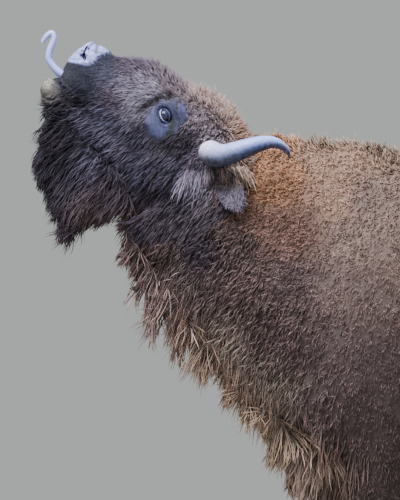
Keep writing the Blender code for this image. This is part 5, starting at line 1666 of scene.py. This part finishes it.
def make_long_hair():
    """The cape over the mane's edge, then the beard, the throat mane and the tail brush."""
    flesh = [node for node in FLESH if not node.startswith("ear")]
    dark, light = (1.06, 0.97, 0.92), (1.30, 1.10, 0.98)
    mane_cape(flesh, 4600, 204)
    for name, node, around, tips, bright, numbers in (
        # the numbers: reach of the tips, locks, seed, shrink of the core, width, longer, spare
        ("beard_hair", "beard", ("lower_jaw", "head"), BEARD_TIPS, dark,
         (0.105, 5000, 201, 0.012, 0.0036, 1.1, 0.012)),
        ("mane_hair", "throat_mane", (*flesh, "beard"), MANE_TIPS, light,
         (0.150, 6000, 202, 0.022, 0.0048, 1.2, 0.010)),
        ("tail_hair", "tail_brush", ("tail",), BRUSH_TIP, dark, (0.060, 800, 203, 0.008, 0.0040, 0.7, 0.004)),
    ):
        long_coat(name, node, around, tips, *numbers, bright)


# ---------------------------------------------------------------- the stage
FLOOR_RADIUS = 3.2


def area_light(name, place, size, energy, colour):
    """A soft square light turned to the forequarters; its place is in the body's own numbers."""
    data = bpy.data.lights.new(name, "AREA")
    data.shape, data.size, data.energy, data.color = "SQUARE", size, energy, colour
    obj = bpy.data.objects.new(name, data)
    bpy.context.scene.collection.objects.link(obj)
    place = SHIFT + np.array(place)
    obj.location = place
    aim = SHIFT + np.array((-0.45, 0, 1.4)) - place
    obj.rotation_euler = Vector(aim).to_track_quat("-Z", "Y").to_euler()


def make_stage():
    """A round pale floor, an even sky, two soft lights and a long lens from the animal's left."""
    scene = bpy.context.scene
    turn = full_turn(128)
    x, y = FLOOR_RADIUS * np.cos(turn), FLOOR_RADIUS * np.sin(turn)
    ring = np.stack([x, y, np.full(len(turn), -0.0005)], 1)
    mesh = bpy.data.meshes.new("floor")
    mesh.from_pydata(ring.tolist(), [], [list(range(len(turn)))])
    floor = bpy.data.objects.new("floor", mesh)
    scene.collection.objects.link(floor)
    made, tree, shader = started_material("Pale floor")
    dress(tree, shader, Base_Color=(*linear("#8f8f8c"), 1), Roughness=0.85)
    mesh.materials.append(made)
    world = bpy.data.worlds.new("Overcast")
    world.use_nodes = True
    sky = world.node_tree.nodes["Background"].inputs
    sky["Color"].default_value = (*settings().sky_colour, 1)
    sky["Strength"].default_value = settings().sky_strength
    scene.world = world
    area_light("high_softbox", (-1.2, -1.6, 4.6), 3.0, settings().key_power, (0.96, 0.98, 1.0))
    area_light("front_fill", (-3.0, -4.0, 1.6), 3.0, settings().fill_power, (1.0, 1.0, 1.0))
    data = bpy.data.cameras.new("camera")
    data.sensor_width, data.lens, data.clip_end = 36.0, 257.14, 100
    camera = bpy.data.objects.new("camera", data)
    scene.collection.objects.link(camera)
    camera.location = SHIFT + np.array((-0.56, -10.0, 1.302))
    camera.rotation_euler = (math.pi / 2, 0, 0)
    scene.camera = camera


# ---------------------------------------------------------------- add-on
class WisentSettings(bpy.types.PropertyGroup):
    coat_length: bpy.props.FloatProperty(
        name="Coat length", description="Length of every tuft as a share of its grown length",
        default=1.0, min=0.2, max=3.0,
    )
    coat_density: bpy.props.FloatProperty(
        name="Coat density", description="Number of tufts as a share of the full short coat",
        default=1.0, min=0.05, max=1.2,
    )
    sky_colour: bpy.props.FloatVectorProperty(
        name="Sky colour", description="Colour of the even light all round, linear", subtype="COLOR",
        size=3, default=tuple(linear("#b3b7b6")), min=0.0, max=1.0,
    )
    sky_strength: bpy.props.FloatProperty(
        name="Sky strength", description="Strength of the even light all round", default=1.0, min=0.0
    )
    key_power: bpy.props.FloatProperty(
        name="High light", description="Power of the soft light overhead",
        default=600.0, min=0.0, unit="POWER",
    )
    fill_power: bpy.props.FloatProperty(
        name="Front light", description="Power of the soft light in front",
        default=70.0, min=0.0, unit="POWER",
    )


class WISENT_OT_hide(bpy.types.Operator):
    """Make the skin with its eyelids and ears"""

    bl_idname = "wisent.hide"
    bl_label = "Skin"

    def execute(self, context):
        make_hide()
        return {"FINISHED"}


class WISENT_OT_hard_parts(bpy.types.Operator):
    """Make the eyes, horns, hooves and tongue"""

    bl_idname = "wisent.hard_parts"
    bl_label = "Eyes, horns, hooves and tongue"

    def execute(self, context):
        make_eyes()
        make_horns()
        make_hooves()
        make_tongue()
        return {"FINISHED"}


class WISENT_OT_short_coat(bpy.types.Operator):
    """Lay the short and curly coat over the skin; the skin is made first"""

    bl_idname = "wisent.short_coat"
    bl_label = "Short coat"

    def execute(self, context):
        make_short_coat()
        make_ear_coat()
        return {"FINISHED"}


class WISENT_OT_long_hair(bpy.types.Operator):
    """Hang the beard, the throat mane and the tail brush"""

    bl_idname = "wisent.long_hair"
    bl_label = "Long hair"

    def execute(self, context):
        make_long_hair()
        return {"FINISHED"}


class WISENT_OT_stage(bpy.types.Operator):
    """Lay the floor and set the lights and the camera"""

    bl_idname = "wisent.stage"
    bl_label = "Floor, lights and camera"

    def execute(self, context):
        make_stage()
        return {"FINISHED"}


OPERATORS = (
    WISENT_OT_hide, WISENT_OT_hard_parts, WISENT_OT_short_coat, WISENT_OT_long_hair, WISENT_OT_stage,
)


class WISENT_PT_panel(bpy.types.Panel):
    bl_idname = "WISENT_PT_panel"
    bl_label = "Wisent"
    bl_space_type = "VIEW_3D"
    bl_region_type = "UI"
    bl_category = "Wisent"

    def draw(self, context):
        for key in WisentSettings.__annotations__:
            self.layout.prop(context.scene.wisent, key)
        for step in OPERATORS:
            self.layout.operator(step.bl_idname)


def register():
    """Register the settings, the operators and the panel."""
    for each in (WisentSettings, *OPERATORS, WISENT_PT_panel):
        bpy.utils.register_class(each)
    bpy.types.Scene.wisent = bpy.props.PointerProperty(type=WisentSettings)


def unregister():
    """Take the panel, the operators and the settings away again."""
    del bpy.types.Scene.wisent
    for each in reversed((WisentSettings, *OPERATORS, WISENT_PT_panel)):
        bpy.utils.unregister_class(each)


def main():
    """Register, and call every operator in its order."""
    register()
    for step in OPERATORS:
        area, name = step.bl_idname.split(".")
        getattr(getattr(bpy.ops, area), name)()


if __name__ == "__main__":
    main()
